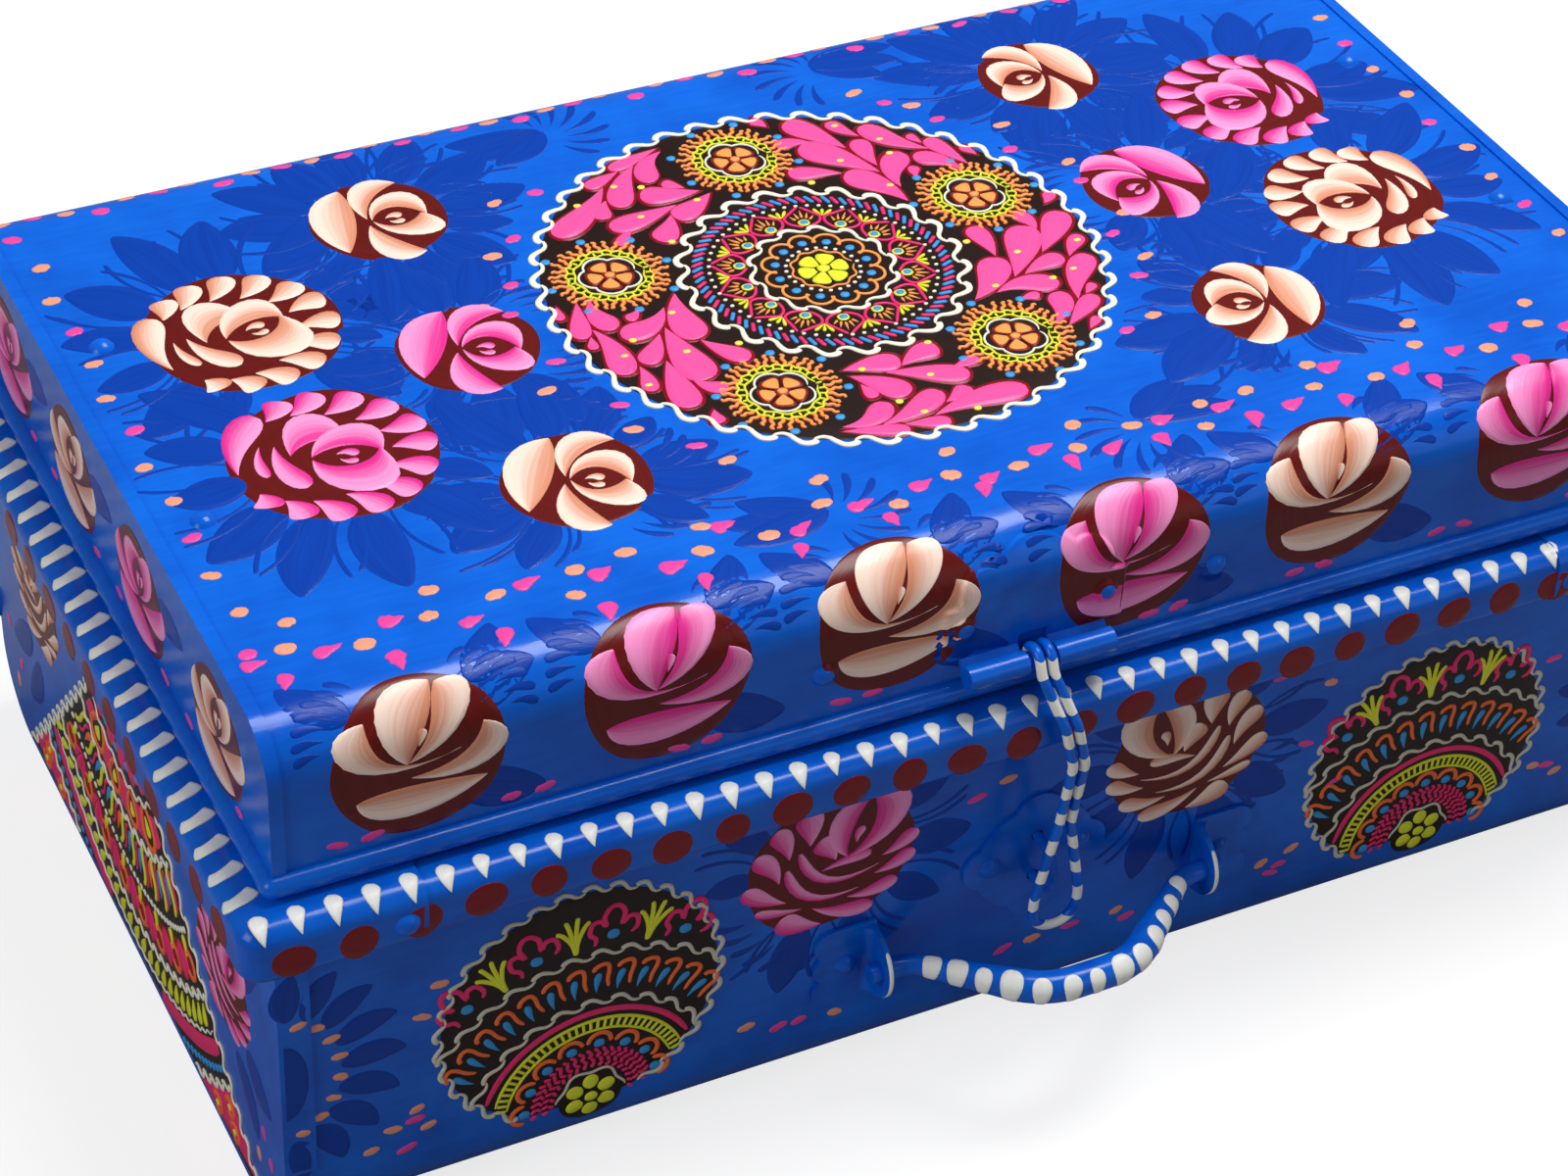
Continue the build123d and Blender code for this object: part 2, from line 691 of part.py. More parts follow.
def make_hinge_body_leaf(x):
    """Leaf on the ledge, bent down over the skirt, with the two outer knuckles."""
    half = hinge_width / 2
    middle = middle_knuckle / 2 + part_gap
    leaf = along_x(folded_leaf(plate) - folded_leaf(0), x - half, x + half)
    y_clear = hinge_y + knuckle_radius + part_gap
    leaf -= block(x - middle, x + middle, hinge_y - 1, y_clear, strip_ledge - 1, strip_ledge + 1)
    leaf += knuckle(x - half, x - middle) + knuckle(x + middle, x + half)
    return drill(leaf - knuckle_bore(x), hinge_skirt_planes(x))


def make_hinge_lid_leaf(x):
    """Leaf cranked over the hem to the lid's back wall, with the middle knuckle."""
    inner = hinge_y - knuckle_radius
    low = ledge_height + hinge_crank_low
    high = ledge_height + hinge_crank_high
    top = ledge_height + hinge_rise
    strip = make_face(
        Polyline(
            (inner, hinge_z),
            (inner, low),
            (lid_back, high),
            (lid_back, top),
            (lid_back + plate, top),
            (lid_back + plate, high + plate / 2),
            (inner + plate, low + plate / 2),
            (inner + plate, hinge_z),
            close=True,
        )
    )
    half = hinge_width / 2
    leaf = along_x(strip, x - half, x + half)
    tongue_z = top - hinge_tongue / 2
    outline = Pos(x, tongue_z) * Circle(hinge_tongue / 2)
    outline += Pos(x, (high + tongue_z) / 2) * Rectangle(hinge_tongue, tongue_z - high)
    clear_low = hinge_z + knuckle_radius + part_gap
    outline += Pos(x, (clear_low + high) / 2) * Rectangle(hinge_width, high - clear_low)
    outline += Pos(x, (hinge_z + high) / 2) * Rectangle(middle_knuckle, high - hinge_z)
    place = Plane(origin=(0, lid_back + 2 * rim_reach, 0), x_dir=(1, 0, 0), z_dir=(0, -1, 0))
    leaf = leaf & extrude(place * outline, 4 * rim_reach)
    leaf += knuckle(x - middle_knuckle / 2, x + middle_knuckle / 2)
    return drill(leaf - knuckle_bore(x), hinge_lid_planes(x))


def make_hinge_pin(x):
    """Hinge pin with a head at each end."""
    half = hinge_width / 2
    pin = rod(hinge_pin_radius, (x - half, hinge_y, hinge_z), (x + half, hinge_y, hinge_z))
    for low, high in ((-half - pin_head_length, -half), (half, half + pin_head_length)):
        pin += rod(pin_head, (x + low, hinge_y, hinge_z), (x + high, hinge_y, hinge_z))
    return pin


# Rivets

def make_rivets(planes, grip, head=rivet_head, dome=rivet_dome):
    """A group of equal rivets, one on each plane."""
    return Compound(children=[place * rivet(grip, head, dome) for place in planes])


def make_all():
    """Every piece by its node name."""
    nodes = {
        "body_wrap": make_body_wrap(),
        "body_end_left": make_body_end(-1),
        "body_end_right": make_body_end(1),
        "inner_lip": make_inner_lip(),
        "lock_plate": make_lock_plate(),
        "staple": make_staple(),
        "handle_bracket_left": make_bracket(-1),
        "handle_bracket_right": make_bracket(1),
        "bail_handle": make_bail(),
        "lid_wrap": make_lid_wrap(),
        "lid_end_left": make_lid_end(-1),
        "lid_end_right": make_lid_end(1),
        "lid_hem_wires": make_hem_wires(),
        "lid_backing_strip": make_backing_strip(),
        "hasp_plate": make_hasp_plate(),
        "hasp_pin": make_hasp_pin(),
        "hasp_wire": make_hasp_wire(),
    }
    nodes.update(make_rim_pieces())
    two_sheets = 2 * sheet
    plate_on_sheet = plate + sheet
    ends = end_rivet_planes(-1) + end_rivet_planes(1)
    brackets = bracket_rivet_planes(-1) + bracket_rivet_planes(1)
    nodes["rim_band_rivets"] = make_rivets(rim_rivet_planes(), two_sheets)
    nodes["lock_plate_rivets"] = make_rivets(lock_rivet_planes(), plate_on_sheet)
    nodes["handle_bracket_rivets"] = make_rivets(brackets, plate_on_sheet)
    nodes["lid_end_rivets"] = make_rivets(ends, two_sheets)
    nodes["hasp_plate_rivets"] = make_rivets(hasp_rivet_planes(), 2 * plate + sheet)
    nodes["lid_front_rivets"] = make_rivets(strip_rivet_planes(), plate_on_sheet)
    skirt_planes = []
    lid_planes = []
    for name, x in (("left", -hinge_spacing / 2), ("right", hinge_spacing / 2)):
        nodes["hinge_body_leaf_" + name] = make_hinge_body_leaf(x)
        nodes["hinge_lid_leaf_" + name] = make_hinge_lid_leaf(x)
        nodes["hinge_pin_" + name] = make_hinge_pin(x)
        skirt_planes += hinge_skirt_planes(x)
        lid_planes += hinge_lid_planes(x)
    nodes["hinge_body_rivets"] = make_rivets(skirt_planes, plate_on_sheet, small_head, small_dome)
    nodes["hinge_lid_rivets"] = make_rivets(lid_planes, plate_on_sheet, small_head, small_dome)
    return nodes


os.makedirs("parts", exist_ok=True)
for node, shape in make_all().items():
    export_step(shape, "parts/" + node + ".step")
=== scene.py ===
import math
import bpy
import numpy as np
from mathutils import Matrix, Vector


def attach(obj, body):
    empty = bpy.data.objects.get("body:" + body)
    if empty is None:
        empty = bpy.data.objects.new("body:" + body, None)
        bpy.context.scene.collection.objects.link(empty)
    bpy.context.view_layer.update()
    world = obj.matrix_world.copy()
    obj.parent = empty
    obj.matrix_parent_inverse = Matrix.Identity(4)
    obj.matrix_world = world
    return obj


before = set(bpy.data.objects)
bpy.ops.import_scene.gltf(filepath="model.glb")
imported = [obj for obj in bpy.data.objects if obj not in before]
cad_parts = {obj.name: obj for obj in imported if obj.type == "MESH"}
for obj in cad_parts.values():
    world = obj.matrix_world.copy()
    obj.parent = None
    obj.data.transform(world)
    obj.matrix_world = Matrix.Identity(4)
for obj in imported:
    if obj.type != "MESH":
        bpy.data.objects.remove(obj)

print("frame loaded:", len(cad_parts), "nodes")
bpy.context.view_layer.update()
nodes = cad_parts
rng = np.random.default_rng(7)

# Sizes of the trunk that the paint has to follow, in millimetres.
trunk = {
    "ledge": 105.0,
    "bodyX": 173.5,
    "bodyY": 100.5,
    "baseBend": 19.5,
    "flangeWidth": 6.6,
    "flangeProud": 0.6,
    "flangeFoot": 25.0,
    "rimReach": 9.0,
    "rimEdge": 4.5,
    "rimLap": 0.6,
    "seamLeft": -143.5,
    "seamRight": 129.5,
    "lidX": 172.5,
    "lidY": 99.5,
    "lidRise": 39.0,
    "lidBend": 12.0,
    "plateX": -3.0,
    "plateHalf": 21.0,
    "plateLow": 12.0,
    "plateShoulder": 25.0,
    "plateArch": 12.0,
    "plateProud": 0.8,
    "plateLobe": (12.0, 2.75, 5.5),     # out from the middle, up from the shoulder, radius
    "rivetPairs": ((-3.0, 17.0, 20.0), (-5.0, 47.0, 17.5)),     # middle, half the distance, height
    "rivetDome": 1.25,
    "rivetHead": 3.0,
}
sink = 0.06     # paint dips this far under the surface at its edges


# Surfaces. Each takes two lengths along the sheet and a height over it, all in millimetres.

def turned(place, along, out, up):
    # the four sides are one shape turned by quarter turns about the upright axis
    if place == "front":
        return np.stack([along, -out, up], -1)
    if place == "back":
        return np.stack([-along, out, up], -1)
    if place == "left":
        return np.stack([-out, -along, up], -1)
    return np.stack([out, along, up], -1)


def overEdge(away, flat, bend, h):
    # level as far as the bend, a quarter circle round it, then straight down: the length out,
    # and the height over the middle of the bend
    turn = np.clip((away - flat) / bend, 0, math.pi / 2)
    drop = np.clip(away - flat - bend * math.pi / 2, 0, None)
    return np.minimum(away, flat) + (bend + h) * np.sin(turn), (bend + h) * np.cos(turn) - drop


def plateLift(x, height):
    # paint rides up over the hasp plate and the rivet heads on the lid's front; the distance
    # to the plate is the least of those to its rectangle, its arch and its two lobes
    side = np.abs(x - trunk["plateX"])
    low, shoulder = trunk["plateLow"], trunk["plateShoulder"]
    above = np.abs(height - (shoulder + low) / 2) - (shoulder - low) / 2
    box = np.hypot(np.clip(side - trunk["plateHalf"], 0, None), np.clip(above, 0, None))
    arch = np.hypot(side, height - shoulder) - trunk["plateArch"]
    lobeOut, lobeUp, lobeRadius = trunk["plateLobe"]
    lobe = np.hypot(side - lobeOut, height - shoulder - lobeUp) - lobeRadius
    near = np.minimum(np.minimum(box, arch), lobe)
    lift = trunk["plateProud"] * np.clip(1.5 - near / 0.8, 0, 1)
    for middle, half, level in trunk["rivetPairs"]:
        away = np.hypot(np.abs(x - middle) - half, height - level)
        lift = lift + trunk["rivetDome"] * np.sqrt(np.clip(1 - (away / trunk["rivetHead"]) ** 2, 0, 1))
    return lift


def onLid(u, v, h):
    # across the top, round the bends and down the long walls
    bend = trunk["lidBend"]
    flat = trunk["lidY"] - bend
    base = trunk["ledge"] + trunk["lidRise"] - bend
    away = np.abs(v)
    height = base + overEdge(away, flat, bend, 0)[1] - trunk["ledge"]
    out, up = overEdge(away, flat, bend, h + plateLift(u, height) * (v < 0))
    return np.stack([u, np.where(v < 0, -out, out), base + up], -1)


def onEnd(place, reach):
    # flat wall at one end of the trunk
    def surface(u, v, h):
        return turned(place, u, reach + h, v + 0 * u)
    return surface


def onRim(place):
    # ledge outwards from the lid, round the edge, then down the skirt
    long = place in ("front", "back")
    wall = trunk["bodyY"] if long else trunk["bodyX"]
    edge = trunk["rimEdge"]

    def surface(u, v, h):
        if long:
            x = u if place == "front" else -u
            under = (x > trunk["seamLeft"]) & (x < trunk["seamRight"])
            h = h - trunk["rimLap"] * under
        out, up = overEdge(-v, trunk["rimReach"] - edge, edge, h)
        return turned(place, u, wall + out, trunk["ledge"] - edge + up)
    return surface


def onWall(place):
    # long wall, which bends under the base along a quarter circle
    def surface(u, v, h):
        bend = trunk["baseBend"]
        turn = np.clip((bend - v) / bend, 0, math.pi / 2)
        flange = (np.abs(u) > trunk["bodyX"] - trunk["flangeWidth"]) & (v > trunk["flangeFoot"])
        h = h + trunk["flangeProud"] * flange
        out = trunk["bodyY"] - bend + (bend + h) * np.cos(turn)
        up = np.maximum(v, bend) - (bend + h) * np.sin(turn)
        return turned(place, u, out, up)
    return surface


# Strokes and pools of paint are grids over two lengths, so any of them can go on any surface.

paintBits = {}


def keep(piece, points, quads, tris, marks):
    paintBits.setdefault(piece, []).append((points, quads, tris, marks))


def netFaces(rows, around):
    # quads between rings of points, and a fan of triangles to the point at either end
    ring = 1 + np.arange(rows)[:, None] * around + np.arange(around)
    after = np.roll(ring, -1, 1)
    quads = np.stack([ring[:-1], ring[1:], after[1:], after[:-1]], -1).reshape(-1, 4)
    start = np.stack([0 * ring[0], ring[0], after[0]], -1)
    stop = np.stack([0 * ring[0] + 1 + rows * around, after[-1], ring[-1]], -1)
    return quads, np.concatenate([start, stop])


def layStrokes(piece, surface, edgeA, edgeB, tall, wide=0, piped=False, base=None):
    # rows run from edge A to edge B, over a dome that is finely divided, round as piping or
    # flat; both ends close in a point, and the underside lies just beneath the surface
    count, steps = edgeA.shape[:2]
    loop = np.concatenate([edgeA, edgeB[:, ::-1]], 1)
    nxt = np.roll(loop, -1, 1)
    area = (loop[..., 0] * nxt[..., 1] - loop[..., 1] * nxt[..., 0]).sum(1)
    swap = (area < 0)[:, None, None]
    low, high = np.where(swap, edgeB, edgeA), np.where(swap, edgeA, edgeB)
    if wide:
        top = np.linspace(0.03, 0.97, wide)
        under = top[::-2]
        t = np.concatenate([[0], top, [1], under[(under > 0.1) & (under < 0.9)]])
        dome = np.where(np.arange(len(t)) <= wide, 1.0, -1.0)
        dome[[0, wide + 1]] = -1
        dome[[1, wide]] = 0.8
    else:
        inset, shoulder = (0.1, 0.6) if piped else (0.12, 0.85)
        t = np.array([0, inset, 0.5, 1 - inset, 1])
        dome = np.array([-1, shoulder, 1, shoulder, -1])
    rows = len(t)
    size = 2 + (steps - 2) * rows
    inner = low[:, 1:-1, None] * (1 - t)[:, None] + high[:, 1:-1, None] * t[:, None]
    s = np.linspace(0, 1, steps)[1:-1]
    swell = np.clip(1 - np.abs(2 * s - 1) ** 8, 0, 1)[:, None]
    # strokes of one call differ a little in height, so that none lie level where they cross
    tall = (np.broadcast_to(tall, count) + .006 * (np.arange(count) % 5))[:, None, None]
    base = np.minimum(0.09, 0.6 * tall) if base is None else base
    height = np.where(dome > 0, base + (tall - base) * dome * swell, -sink)
    uvh = np.full((count, size, 3), -sink)
    uvh[:, 1:-1, :2] = inner.reshape(count, -1, 2)
    uvh[:, 1:-1, 2] = height.reshape(count, -1)
    uvh[:, [0, -1], :2] = (low[:, [0, -1]] + high[:, [0, -1]]) / 2
    marks = np.empty_like(uvh)
    marks[:, 1:-1, 0] = np.tile(np.where(swap[..., 0], 1 - t, t), steps - 2)
    marks[:, 1:-1, 1] = np.repeat(s, rows)
    marks[:, [0, -1], :2] = (0.5, 0), (0.5, 1)
    marks[..., 2] = rng.random(count)[:, None]
    first = (np.arange(count) * size)[:, None, None]
    quads, tris = (np.reshape(faces + first, (-1, faces.shape[1])) for faces in netFaces(steps - 2, rows))
    keep(piece, surface(*uvh.reshape(-1, 3).T), quads, tris, marks.reshape(-1, 3))


def layPool(piece, surface, middle, outline, tall, rings):
    # rings grow from the middle to a closed outline; a second set of rings closes the underside
    grow = np.linspace(0, 1, rings + 1)[1:] ** 0.9
    size = np.concatenate([grow * 0.985, [1.0], grow[-2::-1]])
    level = np.concatenate([np.full(rings - 1, tall), [tall * 0.8], np.full(rings, -sink)])
    around = len(outline)
    uvh = np.empty((2 + len(size) * around, 3))
    uvh[1:-1, :2] = (middle + size[:, None, None] * (outline - middle)).reshape(-1, 2)
    uvh[1:-1, 2] = np.repeat(level, around)
    uvh[[0, -1]] = (*middle, tall), (*middle, -sink)
    marks = np.zeros_like(uvh)
    marks[1:-1, 0] = np.repeat(size, around)
    marks[:, 2] = rng.random()
    keep(piece, surface(*uvh.T), *netFaces(len(size), around), marks)


def curve(points, count=21):
    # smooth curve through given points: each span is a cubic fitted to its neighbours
    p = np.asarray(points, float)
    p = np.concatenate([[2 * p[0] - p[1]], p, [2 * p[-1] - p[-2]]])
    t = np.linspace(0, len(p) - 3, count)
    k = np.minimum(t.astype(int), len(p) - 4)
    f = (t - k)[:, None]
    a, b, c, d = p[k], p[k + 1], p[k + 2], p[k + 3]
    square, cube = 2 * a - 5 * b + 4 * c - d, 3 * b - a - 3 * c + d
    return 0.5 * (2 * b + (c - a) * f + square * f ** 2 + cube * f ** 3)


def polar(middle, radius, degrees):
    # points at a radius and an angle from a middle
    a = np.radians(np.asarray(degrees, float))
    radius = np.broadcast_to(radius, a.shape)
    return np.stack([radius * np.cos(a), radius * np.sin(a)], -1) + middle


def circlePts(radius, count, start=0.0, stop=360.0):
    return polar(0, radius, np.linspace(start, stop, count, endpoint=stop - start < 360))


def between(corners, count):
    # closed outline with straight sides, each cut into a number of steps
    share = np.linspace(0, 1, count, endpoint=False)[:, None]
    nexts = corners[1:] + corners[:1]
    return np.concatenate([a * (1 - share) + b * share for a, b in zip(corners, nexts)])


def fan(count):
    # steps bunched towards both ends, so that round ends stay round
    return (1 - np.cos(np.linspace(0, math.pi, count))) / 2


def sides(centre, half):
    # two edges at a half width either side of a centre line
    along = np.gradient(centre, axis=1)
    along /= np.maximum(np.linalg.norm(along, axis=-1, keepdims=True), 1e-9)
    normal = np.stack([-along[..., 1], along[..., 0]], -1)
    return centre - normal * half[..., None], centre + normal * half[..., None]


def bowed(rows, steps):
    # bowed centre lines: columns are start x, start y, end x, end y, full width, bow as a
    # share of the length; with the share of the way along, and the half width
    rows = np.atleast_2d(np.asarray(rows, float))
    s = fan(steps)[None, :, None]
    run = rows[:, None, 2:4] - rows[:, None, 0:2]
    bow = np.stack([-run[..., 1], run[..., 0]], -1) * rows[:, None, 5:6]
    return rows[:, None, 0:2] + run * s + bow * 4 * s * (1 - s), s[..., 0], rows[:, 4:5] / 2


def drops(rows, steps=12):
    # teardrops: the columns of bowed, from a pointed tip to a round end
    centre, share, half = bowed(rows, steps)
    return sides(centre, half * 1.58 * share ** 0.95 * np.sqrt(np.clip(1 - share ** 4, 0, 1)))


def blobs(rows, steps=9):
    # ellipses: columns are middle x, middle y, half length, half width, turn in degrees
    rows = np.atleast_2d(np.asarray(rows, float))
    s = 2 * fan(steps) - 1
    way = polar(0, 1, rows[:, 4])[:, None]
    centre = rows[:, None, 0:2] + way * (rows[:, 2:3] * s)[..., None]
    half = rows[:, 3:4] * np.sqrt(np.clip(1 - s ** 2, 0, 1))
    return sides(centre, half)


def lines(centre, width, taper=0.0):
    # lines of even width with round ends; taper thins them towards their far ends
    centre = np.asarray(centre, float)
    if centre.ndim == 2:
        centre = centre[None]
    share = np.linspace(0, 1, centre.shape[1])
    half = 0.5 * width * np.sqrt(np.clip(1 - np.abs(2 * share - 1) ** 12, 0, 1)) * (1 - taper * share)
    return sides(centre, np.broadcast_to(half, centre.shape[:2]))


def petals(rows, steps):
    # petals: two cubic curves between shared ends; columns are the two ends, then the two
    # handles of the pale edge, then the two handles of the deep edge
    rows = np.asarray(rows, float).reshape(-1, 6, 2)
    s = fan(steps)[None, :, None]
    p, q, *handles = (rows[:, None, k] for k in range(6))
    return tuple(p * (1 - s) ** 3 + 3 * g * s * (1 - s) ** 2 + 3 * k * s ** 2 * (1 - s) + q * s ** 3
                 for g, k in (handles[:2], handles[2:]))


def placed(edges, middle, size, turn=0.0, flip=1):
    # mirror, scale, turn and move a flat design
    c, s = math.cos(math.radians(turn)), math.sin(math.radians(turn))
    spin = np.array([[c, s], [-s, c]])
    return tuple((e * np.array([flip, 1.0]) * size) @ spin + middle for e in edges)


# Chain of waves that overlap: a thick head, a bulge outwards, a dip inwards and a thin tail. The
# points are a share of the step and of the sway; the head's width is a share of the line's.
chainHead = 1.35
chainTaper = 0.6
chainWave = curve([(0, -.2), (.12, .7), (.34, .95), (.55, .2), (.72, -.6), (.92, -.75), (1.14, -.1)])


class Pen:
    # puts paint on a surface, in pieces named for an owner and a paint; lengths and angles
    # count from the pen's middle, at its scale; piping stands up as from a fine cone

    def __init__(self, owner, surface, middle=(0, 0), scale=1.0):
        self.owner = owner
        self.surface = surface
        self.middle = np.array(middle, float)
        self.scale = scale

    def at(self, radius, degrees):
        return polar(self.middle, np.asarray(radius) * self.scale, degrees)

    def moved(self, radius, degrees, size=1.0):
        return Pen(self.owner, self.surface, self.at(radius, degrees), size * self.scale)

    def brush(self, paint, edges, tall, **more):
        layStrokes(f"{self.owner}_{paint}", self.surface, *edges, tall, **more)

    def pipe(self, paint, edges, tall=0.42):
        self.brush(paint, edges, tall, piped=True)

    def pool(self, paint, middle, outline, tall, rings):
        layPool(f"{self.owner}_{paint}", self.surface, np.asarray(middle, float), outline, tall, rings)

    def stamp(self, paint, edges, radius, angle, tall=0.42, size=1.0, swing=0.0, **more):
        # flat design at a radius and an angle, its top outwards; swing moves it without turning it
        edges = placed(edges, self.at(radius, angle + swing), size * self.scale, angle - 90)
        self.brush(paint, edges, tall, piped=True, **more)

    def bloom(self, paint, inner, outer, degrees, width, tall, **more):
        # ring of drops that point at the middle
        width = np.full(len(degrees), width * self.scale)
        rows = np.column_stack([self.at(inner, degrees), self.at(outer, degrees), width, 0 * width])
        self.brush(paint, drops(rows), tall, piped=True, **more)

    def dot(self, paint, size, tall):
        self.pipe(paint, blobs([[*self.middle, size * self.scale, size * self.scale, 0]]), tall)

    def dots(self, paint, radius, degrees, size, tall=0.34):
        at = self.at(radius, degrees)
        rows = np.column_stack([at, np.full((len(at), 2), size * self.scale), np.zeros(len(at))])
        self.pipe(paint, blobs(rows, 7), tall)

    def arc(self, paint, radius, width, start=0.0, stop=360.0, wave=0.0, waves=0):
        # plain arc, with an optional wave of its radius
        steps = (stop - start) * max(radius * self.scale, 6) / 40
        a = np.linspace(start, stop, max(24, int(steps)))
        centre = self.at(radius + wave * np.cos(np.radians(a) * waves), a)
        self.pipe(paint, lines(centre, width * self.scale), 0.4)

    def rays(self, paint, inner, outer, degrees, width, tall=0.38, lean=0.0, blunt=True):
        # short strokes between two radii; lean turns the outer end
        a, b = self.at(inner, degrees), self.at(outer, degrees + lean)
        s = np.linspace(0, 1, 7)[None, :, None]
        width = np.full((len(a), 1), width * self.scale)
        rows = np.column_stack([a, b, width, 0 * width])
        self.pipe(paint, lines(a[:, None] * (1 - s) + b[:, None] * s, width) if blunt else drops(rows), tall)

    def chain(self, paint, radius, count, sway, width, start=360.0, stop=0.0):
        # the chain along a circle
        angle = start + (stop - start) / count * (np.arange(count)[:, None] + chainWave[:, 0])
        centre = self.at(radius + sway * chainWave[:, 1], angle)
        self.pipe(paint, lines(centre, width * self.scale * chainHead, chainTaper))

    def straightChain(self, paint, start, end, count, sway, width):
        # the chain along a straight line
        step = (end - start) / count
        side = np.array([-step[1], step[0]]) / np.hypot(*step)
        along = np.arange(count)[:, None] + chainWave[:, 0]
        centre = start + step * along[..., None] + side * sway * chainWave[:, 1:2]
        self.pipe(paint, lines(centre, width * chainHead, chainTaper))


# Roses. Flat designs in a disc of radius 1 that open towards +Y.

budRose = [
    ("petals", [
        [.75, -.44, -.70, -.38, .24, -.86, -.66, -.84, .12, -.30, -.50, -.26],
        [.47, .03, -.54, .57, -.85, -.42, -1.35, .62, -.05, -.16, -.56, -.02],
        [-.11, -.21, .71, .28, .85, -.62, 1.32, .12, .45, -.20, .62, .02]]),
    ("petals", [
        [-.13, -.03, .26, .84, -.72, .42, -.38, 1.12, .02, .30, .24, .50],
        [-.13, -.01, .30, .81, .57, .10, 1.00, .98, .24, .34, .12, .56]]),
    ("drops", [[-.01, .18, .07, .36, .1, 0]]),
]
bowlRose = [
    ("petals", [
        [.52, -.72, -.90, -.14, -.06, -1.10, -.98, -.88, .16, -.32, -.46, -.06],
        [-.08, -.12, -.70, .66, -.86, -.36, -1.26, .30, -.40, .02, -.62, .24],
        [.06, -.16, .98, .22, .66, -.66, 1.26, -.26, .34, -.12, .72, .10]]),
    ("petals", [
        [-.02, -.08, .20, .66, -.78, .02, -.66, 1.12, -.34, .18, -.20, .50],
        [.00, -.08, .12, .60, .80, -.10, .90, 1.26, .42, .12, .22, .46]]),
    ("drops", [[.02, .10, .06, .34, .14, .2], [.10, .12, .15, .32, .11, -.2]]),
]
sideRose = [
    ("drops", [
        [-.48, .20, -.66, .68, .27, -.08], [-.25, .32, -.30, .82, .34, -.05],
        [-.58, -.12, -.88, .36, .27, -.1], [-.48, -.44, -.98, -.08, .25, .06],
        [-.30, -.60, -.84, -.48, .14, .04], [-.06, -.92, -.56, -.70, .32, .08],
        [-.18, -.64, .54, -.84, .24, -.1], [.22, -.62, .80, -.54, .22, -.1],
        [.52, -.38, .98, -.18, .22, -.08], [.60, -.14, .99, .12, .22, -.08]]),
    ("drops", [
        [.59, -.24, -.36, .26, .13, .29], [.37, -.52, -.50, .06, .14, .26],
        [-.10, -.11, .48, -.03, .17, .04], [.06, .0, -.14, .36, .30, -.05]]),
    ("petals", [
        [.20, .0, .46, .86, -.26, .30, -.02, .96, .16, .22, .30, .62],
        [.22, .0, .46, .80, 1.02, .04, 1.16, 1.06, .46, .20, .56, .46]]),
    ("drops", [[.29, .18, .36, .40, .12, .1]]),
]


def fullRose():
    # drops round the edge that all lean away from the foot, a few slim ones across the foot,
    # and a round bowl with one loose petal beside it
    angles = np.radians([-46, -24, -2, 20, 42, 65, 89, 113, 136, 158, 180, 201])
    way = np.stack([np.cos(angles), np.sin(angles)], -1)
    lean = .28 * (1 - .6 * np.clip(way[:, 1], 0, 1))
    tips = way * .64 - np.stack([0 * lean, lean], -1)
    ring = np.column_stack([tips, way * .95, np.full(len(angles), .3), .08 * np.sign(way[:, 0])])
    foot = [[.14, -.88, -.70, -.58, .34, .12], [-.24, -.63, .22, -.62, .12, -.1],
            [-.22, -.50, .42, -.28, .25, -.12]]
    loose = [[-.04, -.38, -.20, .14, -.86, -.56, -.80, .20, -.24, -.24, -.26, .0]]
    bowl = [
        [.02, -.20, .04, .44, -.56, -.16, -.58, .70, -.14, .02, -.12, .28],
        [.05, -.20, -.02, .42, .76, -.36, .86, .92, .26, -.04, .24, .32],
    ]
    eye = [[.02, .02, .05, .22, .11, .2], [.09, .04, .12, .20, .08, -.2]]
    return [("drops", ring.tolist() + foot), ("petals", loose), ("petals", bowl), ("drops", eye)]


ringRose = fullRose()


def rose(pen, design, middle, size, turn, colour, flip=1, squash=1.0, fine=1):
    # dark disc with a slightly uneven edge, then the petals brushed over it
    scale = np.array([1.0, squash])
    a = np.linspace(0, 2 * math.pi, 72 * fine, endpoint=False)
    wobble = 1 + .012 * np.sin(3 * a + middle[0]) + .012 * np.sin(5 * a + middle[1])
    edge = np.stack([np.cos(a), np.sin(a)], -1) * wobble[:, None] * size * 0.97 * scale
    pen.pool("rose_ground", middle, edge + middle, 0.05, 14 * fine)
    for layer, (kind, rows) in enumerate(design):
        marks = petals(rows, 17 + 22 * (fine - 1)) if kind == "petals" else drops(rows, 13 * fine)
        flat = [e * scale for e in marks]
        tall = .13 + .03 * layer
        pen.brush(f"{colour}_petals", placed(flat, middle, size, turn, flip), tall,
                  wide=7 + 14 * (fine - 1), base=tall - .05)


def leaves(pen, rows):
    # broad dark leaves, widest near the stem and pointed at the tip
    centre, share, half = bowed(rows, 15)
    tall = .012 + .02 * rng.random(len(rows))
    pen.brush("leaf_paint", sides(centre, half * 2.5 * share ** .6 * (1 - share) ** .75), tall, wide=5)


def stems(pen, rows):
    # thin curved lines between the leaves
    centre, share, half = bowed(rows, 17)
    half = half * (.45 + .55 * share) * np.sqrt(np.clip(1 - np.abs(2 * share - 1) ** 14, 0, 1))
    pen.brush("leaf_paint", sides(centre, half), .02)


def combs(pen, middle, radius, start, stop, count, reach=11.0, lean=38):
    # row of short parallel dabs that follows an edge and leans one way
    at = np.linspace(start, stop, count)
    root = polar(middle, radius, at)
    end = polar(root, reach * (.75 + .35 * np.sin(np.linspace(.3, 2.8, count))), at + lean)
    width, bow = 2.3, -.1 * np.sign(lean)
    pen.brush("leaf_paint", drops(np.column_stack([root, end, 0 * at + width, 0 * at + bow]), 10), .02)


